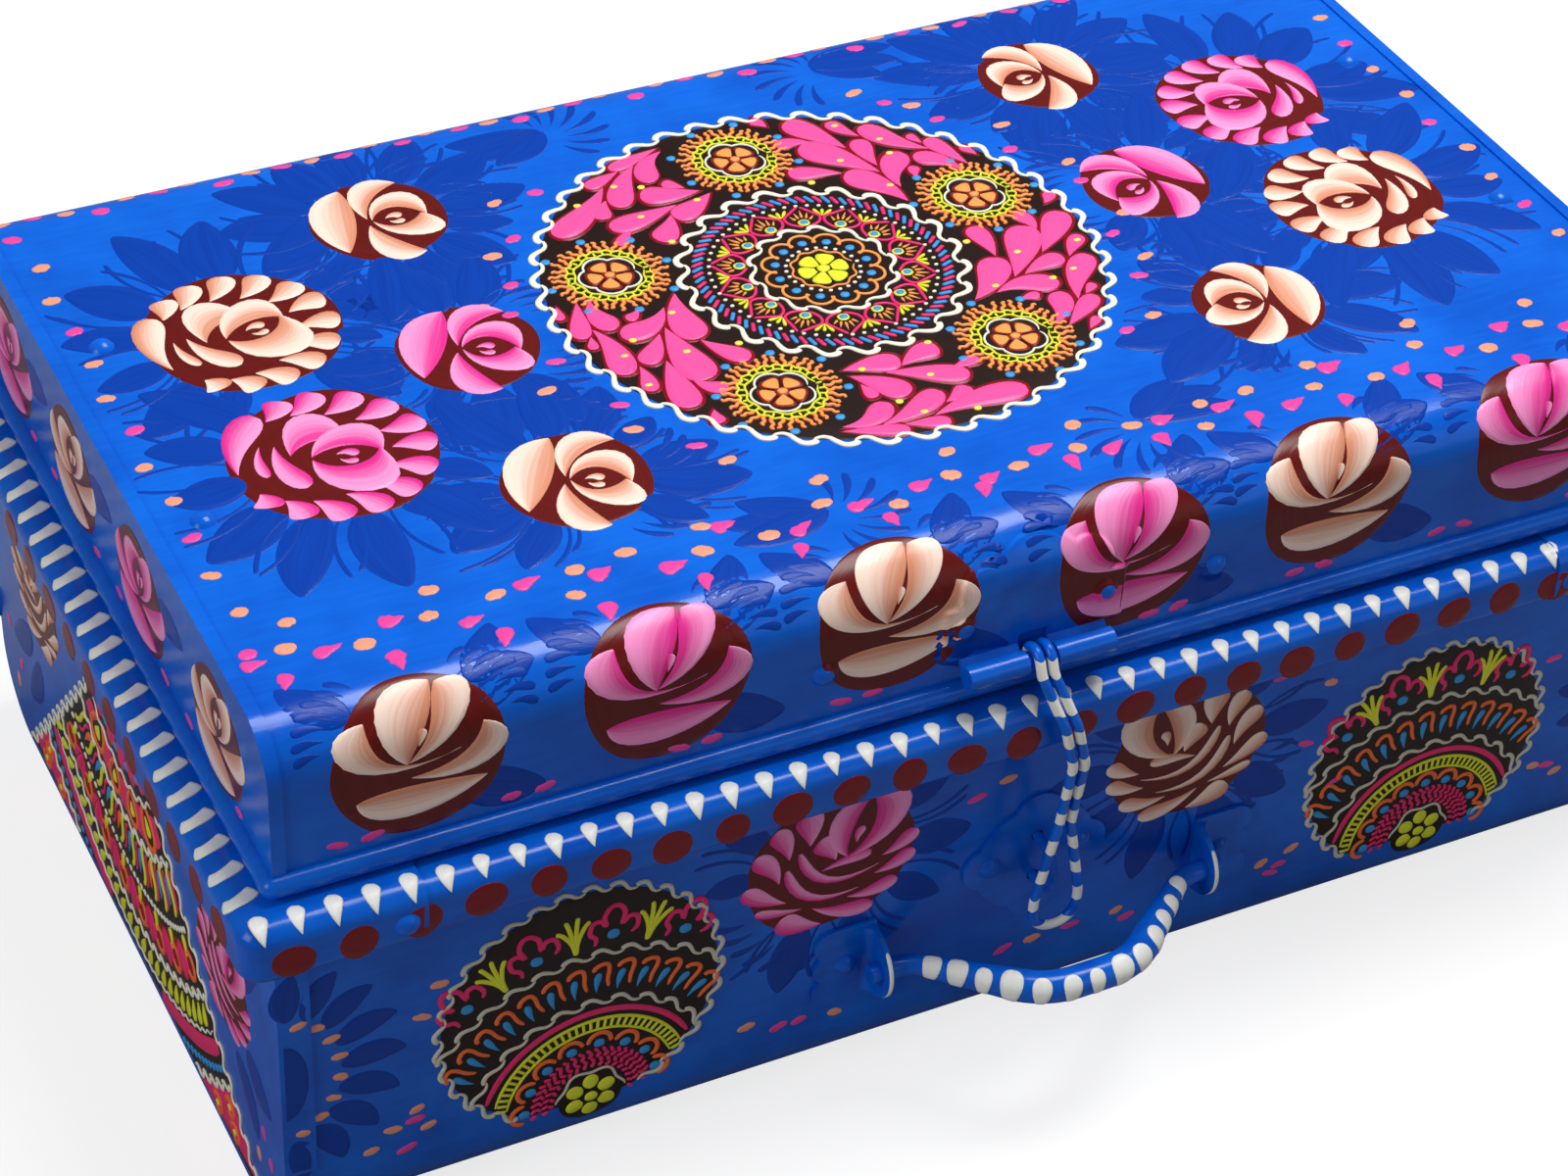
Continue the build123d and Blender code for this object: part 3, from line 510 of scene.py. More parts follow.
def leafWreath(pen, circles, keepOut, limit, reach=22.0, width=12.5, step=28.0):
    # leaves stand round each circle where nothing else is in the way, stems between them
    broad, thin = [], []
    kinds = ((0, reach, broad), (step * .42, reach * .9, thin), (step * .56, reach * .8, thin))
    for index, (x, y, size) in enumerate(circles):
        others = [(*c[:2], c[2] - 1) for n, c in enumerate(circles) if n != index] + keepOut
        spot = np.array([x, y])
        first = rng.random() * step
        for angle in np.arange(first, first + 359 - step / 2, step):
            for shift, longest, store in kinds:
                way = polar(0, 1, angle + shift + 5 * (rng.random() - .5))
                full = size + longest * (.85 + .3 * rng.random())
                for far in (full, full * .85, full * .72):
                    tip = spot + way * far
                    clear = all(np.hypot(*(tip - c[:2])) > c[2] for c in others)
                    clear &= limit[0] < tip[0] < limit[1] and limit[2] < tip[1] < limit[3]
                    if clear:
                        break
                if not clear or far < size + 6:
                    continue
                side = 1 if rng.random() > .5 else -1
                root = spot + way * size * .86
                if store is broad:
                    wide = min(width, .56 * (far - size * .86)) * (.92 + .2 * rng.random())
                    broad.append([*root, *tip, wide, .05 * side])
                else:
                    thin.append([*root, *tip, 1.5, .12 * side])
    leaves(pen, broad)
    stems(pen, thin)


def spots(pen, places, colour, size, turn=0.0, pointed=False):
    # quick dabs of the brush, each a little different
    places = np.asarray(places, float)
    count = len(places)
    jitter = 1 + .25 * (rng.random((count, 2)) - .5)
    angle = turn + 40 * (rng.random(count) - .5)
    long, wide = (size * jitter).T
    edges = blobs(np.column_stack([places, long, wide, angle]), 11)
    if pointed:
        way = polar(0, long, angle)
        bow = .1 * (rng.random(count) - .5)
        edges = drops(np.column_stack([places - way, places + way * .9, wide * 2.1, bow]), 11)
    ragged = np.sin(math.pi * fan(11))[:, None] * .3 * size[1]
    pen.brush(f"{colour}_dabs", [e + ragged * (rng.random(e.shape) - .5) for e in edges], 0.10)


# The round medallion of the lid.

# paints of the piping; a piece is named for its owner and its paint
# pale piping is the white piping greyed as painted shade, used on the fans of the long walls
white, pale, yellow, pink, orange, coral, red = (
    f"{colour}_piping" for colour in ("white", "pale", "yellow", "pink", "orange", "coral", "red"))
blue, black = "blue_dots", "medallion_ground"


def smallFlower(pen, turn):
    # five-petalled flower in a cloud outline, a looped ring and a fringe of curled rays
    angles = turn + np.arange(5) * 72.0
    for paint, reach, width, tall in ((red, 6.5, 6.6, .2), (orange, 5.9, 4.9, .36)):
        pen.bloom(paint, 1.3, reach, angles, width, tall, wide=5)
    pen.dot(red, 2.3, .46)
    pen.dot(orange, 1.4, .7)
    a = np.linspace(0, 360, 91)
    cloud = 6.7 + 1.7 * np.abs(np.cos(np.radians(a - turn) * 2.5)) ** .7
    pen.pipe(white, lines(pen.at(cloud, a), .7 * pen.scale))
    pen.arc(yellow, 9.3, .7, wave=.35, waves=10)
    pen.arc(yellow, 11.3, .75, wave=.4, waves=20)
    pen.rays(yellow, 9.3, 11.2, np.arange(28) * 360 / 28, .7)
    # curls stand in pairs that bend alternately left and right
    flame = curve([(0, 0), (-.5, 1.6), (.4, 3.0), (.1, 4.4), (1.0, 5.0)], 13)
    number = np.arange(36)
    side = np.where(number // 2 % 2, 1.0, -1.0)
    reach = .8 + .25 * np.abs(np.sin(number * 1.7))
    bend = np.degrees(side[:, None] * flame[:, 0] * .085)
    centre = pen.at(10.9 + flame[:, 1] * reach[:, None], (number * 10.0 + turn)[:, None] + bend)
    for paint, width, tall in ((red, 1.8, .15), (orange, 1.15, .42)):
        pen.pipe(paint, lines(centre, width * pen.scale, .2), tall)


# Spray drops: tip and round end (along the ring, outwards), width and bow, from the middle
# of the space between two flowers. Both designs grow the same way round.
sprayA = [
    [14, -15.5, -2.5, -8.5, 8.2, -.09], [5.5, -5, -15, .5, 9.2, -.03], [-3, -8, -15, -12, 5.6, -.05],
    [-12.5, 3, -20, -1, 4.4, -.15], [-4, 3, -20.5, 10, 7.4, -.02], [11.5, -10, 9.5, 4.5, 7.0, .17],
    [4.5, -2.5, -2, 7.5, 5.6, .05], [-2, 9, -10.5, 13, 4.2, .05], [15, 8, -2.5, 13.5, 6.8, .08],
    [24, 1, 12, 3, 6.0, -.15], [25, 4, 13.5, 12, 5.0, 0], [13, 10, 9, 12.5, 2.6, 0],
    [14.5, -5, 13, -.5, 3.0, .1], [26.5, 8.5, 22, 11, 2.6, 0], [-24, 7, -28.5, 9, 3.4, -.07],
]
sprayB = [
    [13, -11, -.5, -9.5, 6.8, .04], [0, -8, -10.5, -11.5, 6.4, .07], [4.5, -7, -12.5, .5, 6.8, .02],
    [12.5, -8.5, 3, 2, 7.4, .04], [11.5, -5, 10.5, .5, 3.4, 0], [22, 7.5, 9.5, 2.5, 6.0, -.19],
    [13.5, 10, -3.5, 3, 6.6, -.07], [22.5, 9, 8.5, 13.5, 4.2, 0], [9, 11.5, -1, 14, 4.2, 0],
    [1.5, 11, -22, 9.5, 7.4, .06], [-3, 7.5, -10, 4, 4.6, -.06], [-10, -3.5, -17, -5, 3.6, -.05],
]


medallionDrawn = 66.5     # radius that the medallion's lengths below are given for


def paintMedallion(pen):
    # black disc with a chain border, five flowers, sprays between them and a rosette
    pen.pool(black, pen.middle, circlePts(64.6 * pen.scale, 120) + pen.middle, .08, 8)
    pen.chain(white, 64.4, 46, 1.5, 1.5)
    flowers = 17.0 + 72.0 * np.arange(5)
    for a in flowers:
        smallFlower(pen.moved(48.4, a, .86), a + 90)
        near = np.array([14.4, 15.0, 14.6, 15.2, 14.4, 15.0, 14.6, 15.2])
        pen.moved(48.4, a).dots(blue, near, np.arange(8) * 45 + a + 22, 1.15)
    for number, a in enumerate(flowers + 36):
        for paint, grow, tall, base in (("spray_shadow", 1.7, .12, .1), ("pink_sprays", 0, .26, .15)):
            rows = np.array(sprayB if number % 2 else sprayA)
            way = rows[:, 2:4] - rows[:, 0:2]
            way /= np.linalg.norm(way, axis=1, keepdims=True)
            rows[:, 0:2] -= way * grow * .6
            rows[:, 2:4] += way * grow * .5
            rows[:, 4] += grow
            pen.stamp(paint, drops(rows, 17), 48, a, tall, wide=5, base=base)
        strewn = np.array([15, -13, -3, 8, 5.5, -7.0])
        pen.dots("yellow_dots", [35.5, 39, 57, 60.5, 45.5, 52], a + strewn, .95)
    pen.chain(white, 31.8, 23, 1.6, 1.45)
    for paint, shift in ((pink, 0), (blue, 4.0)):
        pen.rays(paint, 27.0, 30.0, np.arange(45) * 8.0 + shift, 1.05, lean=5)
    pen.dots(white, 25.9, np.arange(60) * 6.0, .5)
    # lotus: two bowed lines that meet in a point outside, and five rays between them
    arcs = np.arange(14) * 360 / 14
    fiveRays = [[-2.9, 2.4, -1.6, .9, .75, 0], [-1.6, 3.9, -.9, 1.4, .75, 0], [0, 5.0, 0, 1.7, .75, 0],
                [1.6, 3.9, .9, 1.4, .75, 0], [2.9, 2.4, 1.6, .9, .75, 0]]
    for a in arcs:
        for side in (-1, 1):
            petal = curve([(0, -2.2), (3.2 * side, -.6), (4.2 * side, 1.8), (2.4 * side, 4.0), (0, 6.6)], 17)
            pen.stamp(pink, lines(petal, .8), 19.2, a, .36)
        pen.stamp(orange, drops(fiveRays, 7), 19.2, a, .3)
    pen.dots(yellow, 19.0, arcs, 1.5, .26)
    pen.dots(blue, 19.0, arcs, 1.0, .42)
    for lean in (-5, 0, 5):
        pen.rays(yellow, 21.6, 24.4, arcs + 180 / 14, .95, lean=lean, blunt=False)
    pen.chain(white, 16.1, 14, 1.0, 1.1)
    twelve = np.arange(12) * 30.0
    for a in twelve:
        loop = pen.moved(10.9, a).at(3.1, np.linspace(a - 112, a + 112, 15))
        pen.pipe(orange, lines(loop, .8 * pen.scale), .38)
    pen.dots(blue, 10.9, twelve, 1.15)
    pen.dots(white, 8.5, np.arange(24) * 15.0, .5)
    pen.arc(orange, 7.2, .6, wave=.4, waves=10)
    pen.bloom(yellow, .8, 6.0, np.arange(6) * 60.0, 4.6, .3, wide=5)
    pen.dot(black, 2.1, .42)
    pen.dot(yellow, 1.6, .7)


# The fans of the long walls.

fanDrawn = 33.7     # radius that the fan's lengths below are given for


def paintFan(pen, middle, radius, chord):
    # disc cut off by the base; its bands are arcs about a flower at the foot, the pen's middle
    k = pen.scale
    foot = pen.middle
    away = np.asarray(middle) - foot
    drop = float(np.hypot(*away))
    axis = math.degrees(math.atan2(away[1], away[0]))
    way = circlePts(1, 120)
    reach = np.full(len(way), radius * .96)
    down = way[:, 1] < -1e-6
    reach[down] = np.minimum(reach[down], (chord - middle[1]) / way[down, 1])
    pen.pool(black, middle, middle + way * reach[:, None], .08, 9)

    def span(rho, inset=2.0, rise=0.8):
        # first and last angle of an arc about the foot inside the disc and above its cut
        rho = rho * k
        edge = radius - inset * k
        inside = (rho ** 2 + drop ** 2 - edge ** 2) / (2 * rho * drop)
        half = math.degrees(math.acos(np.clip(inside, -1, 1)))
        floor = math.degrees(math.asin(np.clip((chord + rise - foot[1]) / rho, -1, 1)))
        return max(axis - half, floor), min(axis + half, 180 - floor)

    def spread(rho, pitch, inset=2.0, rise=0.8):
        low, high = span(rho, inset, rise)
        return np.linspace(low, high, max(3, round((high - low) / math.degrees(pitch / rho))))

    def band(paint, rho, width, inset=2.0, **more):
        pen.arc(paint, rho, width, *span(rho, inset), **more)

    # whole flower at the foot
    pen.pool(black, foot, circlePts(7.6 * k, 40) + foot, .07, 5)
    star = np.arange(6) * 60.0 + 30
    rows = np.column_stack([pen.at(4.3, star), np.full((6, 2), 2.1 * k), star])
    pen.pipe(yellow, blobs(rows, 11), .32)
    pen.dot(black, 2.5, .46)
    pen.dot(yellow, 1.6, .8)
    # pale here and below is white piping greyed as painted shade
    band(pale, 7.7, .75, 0, wave=.6, waves=6)
    # magenta net: four rows of short leaning strokes
    for row, rho in enumerate((9.4, 10.8, 12.2, 13.5)):
        pen.rays(pink, rho - .8, rho + .8, spread(rho, 1.75) + row % 2 * 3, .95, lean=5 if row % 2 else -5)
    at = spread(15.6, 5.4)
    for angle in at:
        loop = pen.moved(16.0, angle).at(2.7, np.linspace(angle - 108, angle + 108, 13))
        pen.pipe(coral, lines(loop, 1.25 * k))
    pen.dots(blue, 15.6, at, 1.35)
    band(yellow, 19.9, .75)
    band(yellow, 22.9, .95)
    pen.rays(yellow, 19.9, 22.9, spread(21.4, 1.6), .8)
    band(pink, 25.3, 1.7)
    # chains in the greyed white: painted shade
    for rho in (28.2, 42.4):
        low, high = span(rho, .5)
        pen.chain(pale, rho, round((high - low) / math.degrees(7.0 / rho)), 1.0, 1.1, high, low)
    hook = curve([(-2.3, 1.6), (-2.0, 2.9), (-.4, 3.7), (1.0, 3.3), (1.4, 1.6), (1.2, -.8), (1.7, -3.8)], 19)
    for angle in spread(35.4, 5.3, 4.0, 2.5):
        pen.stamp(coral, lines(hook, 1.3, .2), 35.4, angle)
        pen.stamp(blue, drops([[-1.2, -4.4, -.8, 1.3, 1.9, .05]]), 35.4, angle, .36)
    # lotus flowers with sprigs between them
    at = spread(49.0, 12.4, 5.0, 5.5)
    lotus = curve([(-3.4, -4.2), (-3.3, -2.2), (-4.6, -.8), (-4.4, 1.5), (-2.8, 1.9), (-1.7, .6),
                   (-2.2, 2.8), (-1.2, 4.8), (.4, 5.0), (1.7, 3.2), (1.5, .6), (2.7, 1.9), (4.3, 1.4),
                   (4.5, -.9), (3.2, -2.3)], 57)
    for angle in at:
        pen.stamp(pink, lines(lotus, 1.15), 49.4, angle, .4, 1.2)
    pen.dots(blue, 47.4, at, 1.5)
    for angle in (at[1:] + at[:-1]) / 2:
        for tip in ((-3.6, 3.0), (-1.5, 5.2), (1.2, 5.4), (3.5, 3.4)):
            sprig = curve([(0, -4.6), (.15 * tip[0], -1.2), (.6 * tip[0], .6 * tip[1]), tip], 13)
            pen.stamp(yellow, lines(sprig, 1.05), 49.0, angle, .4, 1.15)
    # border: the round part of the disc's edge
    gap = math.degrees(math.acos(np.clip((middle[1] - chord) / radius, -1, 1)))
    rim = Pen(pen.owner, pen.surface, middle, k)
    # border chain in the greyed white: painted shade
    rim.chain(pale, radius * .965 / k, int(radius * .86 / k), 1.1, 1.15, 270 - gap, gap - 90)


# The hanging fan of the end walls: the height of its top, the angles of its two sides and the
# height where the base cuts it off.
hangingFan = {"top": 87.0, "left": 227.0, "right": 314.5, "foot": 1.6}


def paintHangingFan(pen):
    # bands of piping hang as arcs about a flower under the rim, the pen's middle
    depth = hangingFan["top"] - hangingFan["foot"]

    def sweep(rho, inset=1.6, least=3.0):
        # the arcs of one radius between the sides and above the base
        trim = math.degrees(inset / rho)
        low, high = hangingFan["left"] + trim, hangingFan["right"] - trim
        cut = math.degrees(math.acos(min(1.0, depth / rho)))
        arcs = [(low, high)] if cut == 0 else [(low, 270 - cut), (270 + cut, high)]
        return [(a, b) for a, b in arcs if b - a > least]

    def steps(rho, pitch, inset=2.4):
        gap = math.degrees(pitch / rho)
        return np.concatenate([np.linspace(a, b, 1 + max(1, round((b - a) / gap)))
                               for a, b in sweep(rho, inset)])

    def band(paint, rho, width, **more):
        for a, b in sweep(rho + width / 2):
            pen.arc(paint, rho, width, a, b, **more)

    def flat(paint, inner, outer, tall):
        for a, b in sweep(outer - (outer - inner) / 4, .8):
            arc = pen.at((inner + outer) / 2, np.linspace(a, b, 48))
            pen.brush(paint, lines(arc, outer - inner), tall)

    def chain(rho, pitch=5.2):
        for a, b in sweep(rho + 1, .8):
            pen.chain(white, rho, int(math.radians(b - a) * rho / pitch), 1.2, 1.15, b, a)

    corners = [pen.at(-depth / math.sin(math.radians(hangingFan[side])), hangingFan[side])
               for side in ("left", "right")]
    cap = list(polar(pen.middle - (0, 9), 8.5, np.linspace(35, 145, 12)))
    pen.pool(black, pen.middle - (0, 47), between(cap + corners, 12), .08, 9)

    # half flower, then a pink tier with ringed yellow drops
    at = 270 + np.array([-32, -16, 0, 16, 32.0])
    pen.bloom(pink, 12, 29.5, at, 6.6, .3)
    pen.dots(blue, 26.5, at[1:] - 8, 1.4)
    flat(pink, 32.4, 42.6, .12)
    band(white, 31.6, 1.0, wave=.8, waves=30)
    loop = curve([(0, -5.2), (2.6, -2.2), (3.4, 1.2), (1.9, 3.6), (0, 4.2), (-1.9, 3.6), (-3.4, 1.2),
                  (-2.6, -2.2), (0, -5.2)], 33)
    for angle, size in ((242, 1.25), (260.5, 1.0), (279.5, 1.0), (298, 1.25)):
        for paint, wide, tall in ((black, 6.4, .2), (yellow, 3.4, .44)):
            share = wide / 6.4
            pen.stamp(paint, drops([[0, -4.6 * share, 0, 3.4 * share, wide, 0]]), 37.4, angle, tall, size)
        pen.stamp(coral, lines(loop, 1.5), 37.4, angle, .46, size)
    chain(44.0)

    # leaning S strokes with drops between them, a row of pearls
    bend = curve([(-1.4, -6.2), (-.2, -5.2), (.2, -2.4), (.1, .6), (.9, 3.4), (2.8, 5.2)], 19)
    at = steps(51.6, 8.2, 4.5)
    for number, angle in enumerate(at):
        pen.stamp(yellow, lines(bend, 1.9, .2), 51.6, angle, .44)
        pen.stamp(pink, lines(bend, 1.5, .3), 51.6, angle, .42, .86, swing=2.9)
        if number < len(at) - 1:
            paint = blue if number % 3 else coral
            pen.stamp(paint, drops([[.8, 3.4, -.4, -4.2, 2.6, .06]]), 51.0, angle, .36, swing=6.0)
    pen.dots(white, 59.4, steps(59.4, 2.5), .95)

    # orange rings with yellow buds, pink fans between them
    flat(red, 60.6, 72.6, .11)
    at = steps(66.4, 13.2, 6.0)
    for angle in at:
        pen.stamp(coral, lines(circlePts(2.9, 25) * (1, 1.1), 1.6), 67.6, angle, .44)
        pen.stamp(yellow, drops([[0, 2.0, 0, -3.2, 2.6, 0]]), 63.6, angle, .5)
    for angle in (at[1:] + at[:-1]) / 2:
        three = [[0, -5.0, -3.2, 3.0, 3.2, .1], [0, -5.0, 0, 4.6, 3.4, 0], [0, -5.0, 3.2, 3.0, 3.2, -.1]]
        pen.stamp(pink, drops(three), 67.0, angle, .34)
    chain(73.8)

    # rope of leaning yellow dabs, a broad pink band, blue dots
    pen.rays(yellow, 75.8, 81.2, steps(80.5, 5.0, 4.0), 3.4, tall=.4, lean=-2.4, blunt=False)
    band(white, 82.6, .8, wave=.4, waves=110)
    flat(pink, 83.6, 88.4, .3)
    pen.dots(blue, 90.8, steps(92.0, 3.2), 1.15)
    chain(94.4)

    # corners: pink ground with orange flowers
    for (a, b), corner, mirrored in zip(sweep(96.4, 1.2), corners, (False, True)):
        first, last = pen.at(96.4, (b, a) if mirrored else (a, b))
        triangle = [first, corner * .97 + pen.middle * .03, last]
        outline = between(triangle, 8)
        pen.pool(pink, np.mean(triangle, 0), outline[::-1] if mirrored else outline, .16, 3)
    for rho, shares in ((99.6, (.26, .72)), (105.4, (.5,))):
        for a, b in sweep(rho, 0, 1.0):
            for share in shares:
                angle = a + (b - a) * (share if a < 250 else 1 - share)
                pen.stamp(coral, lines(circlePts(2.4, 21), 1.7), rho, angle, .44)
                pen.moved(rho, angle).dot(yellow, 1.0, .5)

    # the two straight sides
    for corner, start in zip(corners, (cap[-1], cap[0])):
        pen.straightChain(white, start, corner, int(np.hypot(*(corner - start)) / 6.6), 1.6, 1.25)


# Where everything goes on the lid: places along it and across its top, down the front below 0.
# Small and full roses have a place, size, turn and colour, the others a place and colour.

lid = {
    "medallion": (-1.5, 5.0),
    "medallionRadius": 66.5,
    "medallionClear": 68.5,
    "smallRoses": [(-87, 61, 16.5, -82, "beige"), (-87, 7, 16.5, -98, "pink"),
                   (-84, -45, 16.8, -100, "beige"), (84.5, 60.5, 15.5, 84, "beige"),
                   (85, 9, 16.0, 100, "pink"), (84, -43.5, 15.8, 62, "beige")],
    "fullRoses": [(-130, 31.5, 22.8, -75, "beige"), (-127.5, -17.5, 23.4, -100, "pink"),
                  (125.5, 32, 21.4, 80, "pink"), (127.5, -15, 22.0, 85, "beige")],
    "frontRoses": [(-141, -108.0, "beige"), (-87.5, -106.8, "pink"), (-35.5, -106.0, "beige"),
                   (20.5, -107.0, "pink"), (71.5, -105.5, "beige"), (126, -104.5, "pink")],
    "frontSize": 19.2,
    "endRoses": [(-68, "pink"), (-23, "beige"), (22, "pink"), (70, "beige")],
    "endLevel": 19.5,
    "endSize": 15.5,
    "wreathLimit": (-170, 170, -70, 97),
    "sprigs": [(-38, 82, 200), (34, 84, -20), (-40, -74, 165), (36, -72, 15)],
    "dabAngles": [132, 148, 163, 172, 188, 205, 222, 318, 336, 350, 8, 24, 41, 52],
    "hingeLeaves": range(-70, 62, 22),
    "hingeDabs": range(-66, 70, 12),
    "endDabs": range(-84, 90, 15),
}


def paintLid():
    pen = Pen("lid", onLid)
    paintMedallion(Pen("lid", onLid, lid["medallion"], lid["medallionRadius"] / medallionDrawn))
    for design, group in ((bowlRose, "smallRoses"), (ringRose, "fullRoses")):
        for x, y, size, turn, colour in lid[group]:
            rose(pen, design, (x, y), size, turn, colour, flip=1 if x < 0 else -1)
    for x, v, colour in lid["frontRoses"]:
        # finer nets where the paint rides over the hasp plate
        rose(pen, budRose, (x, v), lid["frontSize"], 0, colour, fine=3 if abs(x) < 50 else 1)
    ends = [Pen("lid", onEnd(place, trunk["lidX"])) for place in ("left", "right")]
    for u, colour in lid["endRoses"]:
        for end in ends:
            rose(end, bowlRose, (u, trunk["ledge"] + lid["endLevel"]), lid["endSize"], 8, colour, squash=.95)
    circles = [row[:3] for row in lid["smallRoses"] + lid["fullRoses"]]
    leafWreath(pen, circles, [(*lid["medallion"], lid["medallionClear"])], lid["wreathLimit"])
    for x, y, size in circles[:len(lid["smallRoses"])]:
        inward = math.degrees(math.atan2(lid["medallion"][1] - y, lid["medallion"][0] - x))
        combs(pen, (x, y), size + 2.5, inward + 25, inward + 110, 11, lean=-42)
        combs(pen, (x, y), size + 2.5, inward - 110, inward - 25, 11, lean=42)
    for x, y, first in lid["sprigs"]:
        tips = (x, y) + circlePts(1, 3, first - 30, first + 30) * (24, 13)
        leaves(pen, [[x, y, *tip, 9, .06] for tip in tips])
        combs(pen, (x, y - 3), 5, first + 100, first + 260, 8, lean=20)
    leaves(pen, [[x + 8, v + 8 * side, x + 27, v + 15 * side, 11, .08 * side]
                 for x, v, colour in lid["frontRoses"][:-1] for side in (-1, 1)])
    for x, v, colour in lid["frontRoses"]:
        combs(pen, (x, v), 21, 20, 62, 7, lean=-30, reach=7)
        combs(pen, (x, v), 21, 160, 118, 7, lean=30, reach=7)
        leaves(pen, [[x - 12, v + 13, x - 24, v + 24, 9, .1], [x + 12, v + 14, x + 22, v + 27, 9, -.1]])
    paintLidDabs(pen)
    for end in ends:
        hem = trunk["ledge"]
        spots(end, [(u, hem + 7.0) for u in lid["endDabs"]], "pink", (2.4, 1.2))
        leaves(end, [[u + 10, hem + 22, u + 28, hem + 25, 9, .1] for u, colour in lid["endRoses"][:-1]])
    # back wall: a plain row of leaves between the hinges
    leaves(pen, [[x, 104 + 5 * (k % 2), x + 17, 112 - 5 * (k % 2), 8, .1]
                 for k, x in enumerate(lid["hingeLeaves"])])
    spots(pen, [(x, 122.0) for x in lid["hingeDabs"]], "pink", (2.3, 1.2))


def paintLidDabs(pen):
    # dabs along the front bend, the back edge, the two ends and round the medallion
    def row(x, v, some, *look, **more):
        spots(pen, np.column_stack([x, v + 0 * x])[some], *look, **more)

    x = np.arange(-166, 168, 7.4)
    n = np.arange(len(x))
    v = -75.5 + 3.6 * np.sin(n * 1.9) + 1.2 * np.sin(n * 4.1)
    even = n % 2 == 0
    row(x, v, even, "pink", (3.2, 2.1), 200, pointed=True)
    row(x, v, ~even, "peach", (2.3, 1.8))
    row(x + 4, v - 7.0, n % 3 == 0, "pink", (3.0, 2.0), 80, pointed=True)
    row(x + 3, v + 7.5, n % 4 == 1, "peach", (2.1, 1.7))
    row(x, -124.5, (n % 5 == 1) | (n % 5 == 2), "pink", (2.4, 1.2))
    row(x, 92 + 1.6 * np.sin(n * 2.3), even, "peach", (2.3, 1.5))
    row(x, 90 + 2.2 * np.sin(n * 1.7), ~even, "pink", (2.4, 1.5))
    y = np.arange(-72, 88, 13.0)
    n = np.arange(len(y))
    for side in (-1, 1):
        x = side * (166 - 3 * np.abs(np.sin(n * 1.3)))
        row(x, y, n % 3 > 0, "peach", (2.0, 1.6))
        row(x, y, n % 3 == 0, "pink", (2.2, 1.6))
    near = np.array(lid["dabAngles"])
    spots(pen, polar(lid["medallion"], 71.5 + 2 * np.sin(near), near), "pink", (2.2, 1.4))
    spots(pen, polar(lid["medallion"], 76.5 + 2 * np.cos(near), near + 6), "peach", (2.2, 1.5))


# Rows along the rim are the first place, the limit and the pitch.

rim = {
    "longStrokes": (-176.5, 177, 7.85),
    "longOvals": (-172, 176, 13.7),
    "shortStrokes": (-96, 99, 8.4),
    "shortOvals": (-98, 100, 13.8),
    "hinges": 100,
    "longStroke": (-9.9, -2.9, 4.1),
    "shortStroke": [(-1.6, -1.2), (-.4, -3.0), (.5, -5.2), (.4, -7.4), (-1.0, -9.6)],
    "shortWidth": 3.9,
    "ovalLevel": -15.4,
    "ovalHalf": (4.4, 4.3),
}


def paintRim():
    # white strokes over the edge of the ledge and ovals down the skirt, none at the hinges
    for place in ("front", "back", "left", "right"):
        pen = Pen("rim", onRim(place))
        if place in ("front", "back"):
            x = np.arange(*rim["longStrokes"])
            ovals = np.arange(*rim["longOvals"])
            if place == "back":
                x = x[np.abs(np.abs(x) - rim["hinges"]) > 20]
                ovals = ovals[np.abs(np.abs(ovals) - rim["hinges"]) > 24]
            low, high, width = rim["longStroke"]
            lean = .5 * rng.random(len(x)) - 1.5
            grow = 1 + .14 * (rng.random(len(x)) - .5)
            rows = np.column_stack([x + lean, low * grow, x - .6, high + 0 * x, width * grow, 0 * x + .06])
            pen.brush("white_strokes", drops(rows), .2)
        else:
            y = np.arange(*rim["shortStrokes"])
            centre = curve(rim["shortStroke"], 15) + np.stack([y, 0 * y], -1)[:, None]
            pen.brush("white_strokes", lines(centre, rim["shortWidth"], .25), .2)
            ovals = np.arange(*rim["shortOvals"])
        long, wide = rim["ovalHalf"]
        rows = np.column_stack([ovals, rim["ovalLevel"] + .5 * np.sin(ovals), long + .4 * np.sin(ovals * 2),
                                wide + .3 * np.sin(ovals * 3), 20 * np.sin(ovals)])
        pen.brush("oval_paint", blobs(rows, 13), .05, wide=5)


bail = {
    "middle": 5.5,
    "pivotY": -106.3,
    "z": 37.0,
    "depth": 20.0,
    "kneeRadius": 11.0,
    "bendRadius": 20.0,
    "kneeHalf": 35.0,
    "flatHalf": 11.0,
    "endBar": 2.4,
    "gripBar": 3.7,
    "earHalf": 41.6,
    "earReach": 10.5,
    "earRise": 9.5,
    "dabs": (-36.5, 38, 6.1),
}


def bailRoute():
    # heading along the bar from its middle: level, a bend back to the wall, straight, and
    # level again after the knee; places are the running sum of the headings
    slope = math.atan2(bail["depth"], bail["kneeHalf"] - bail["flatHalf"])
    arm = math.hypot(bail["depth"], bail["kneeHalf"] - bail["flatHalf"])
    bendCut, kneeCut = (bail[k] * math.tan(slope / 2) for k in ("bendRadius", "kneeRadius"))
    marks = np.cumsum([bail["flatHalf"] - bendCut, bail["bendRadius"] * slope, arm - bendCut - kneeCut,
                       bail["kneeRadius"] * slope])
    s = np.linspace(0, marks[-1] + 6, 400)
    heading = np.interp(s, marks, [0, -slope, -slope, 0])
    step = s[1] - s[0]
    x = np.concatenate([[0], np.cumsum(np.cos(heading[:-1]) * step)])
    out = bail["depth"] + np.concatenate([[0], np.cumsum(np.sin(heading[:-1]) * step)])
    bar = np.interp(s, marks[1:3], [bail["gripBar"], bail["endBar"]])
    return s, x, out, heading, bar


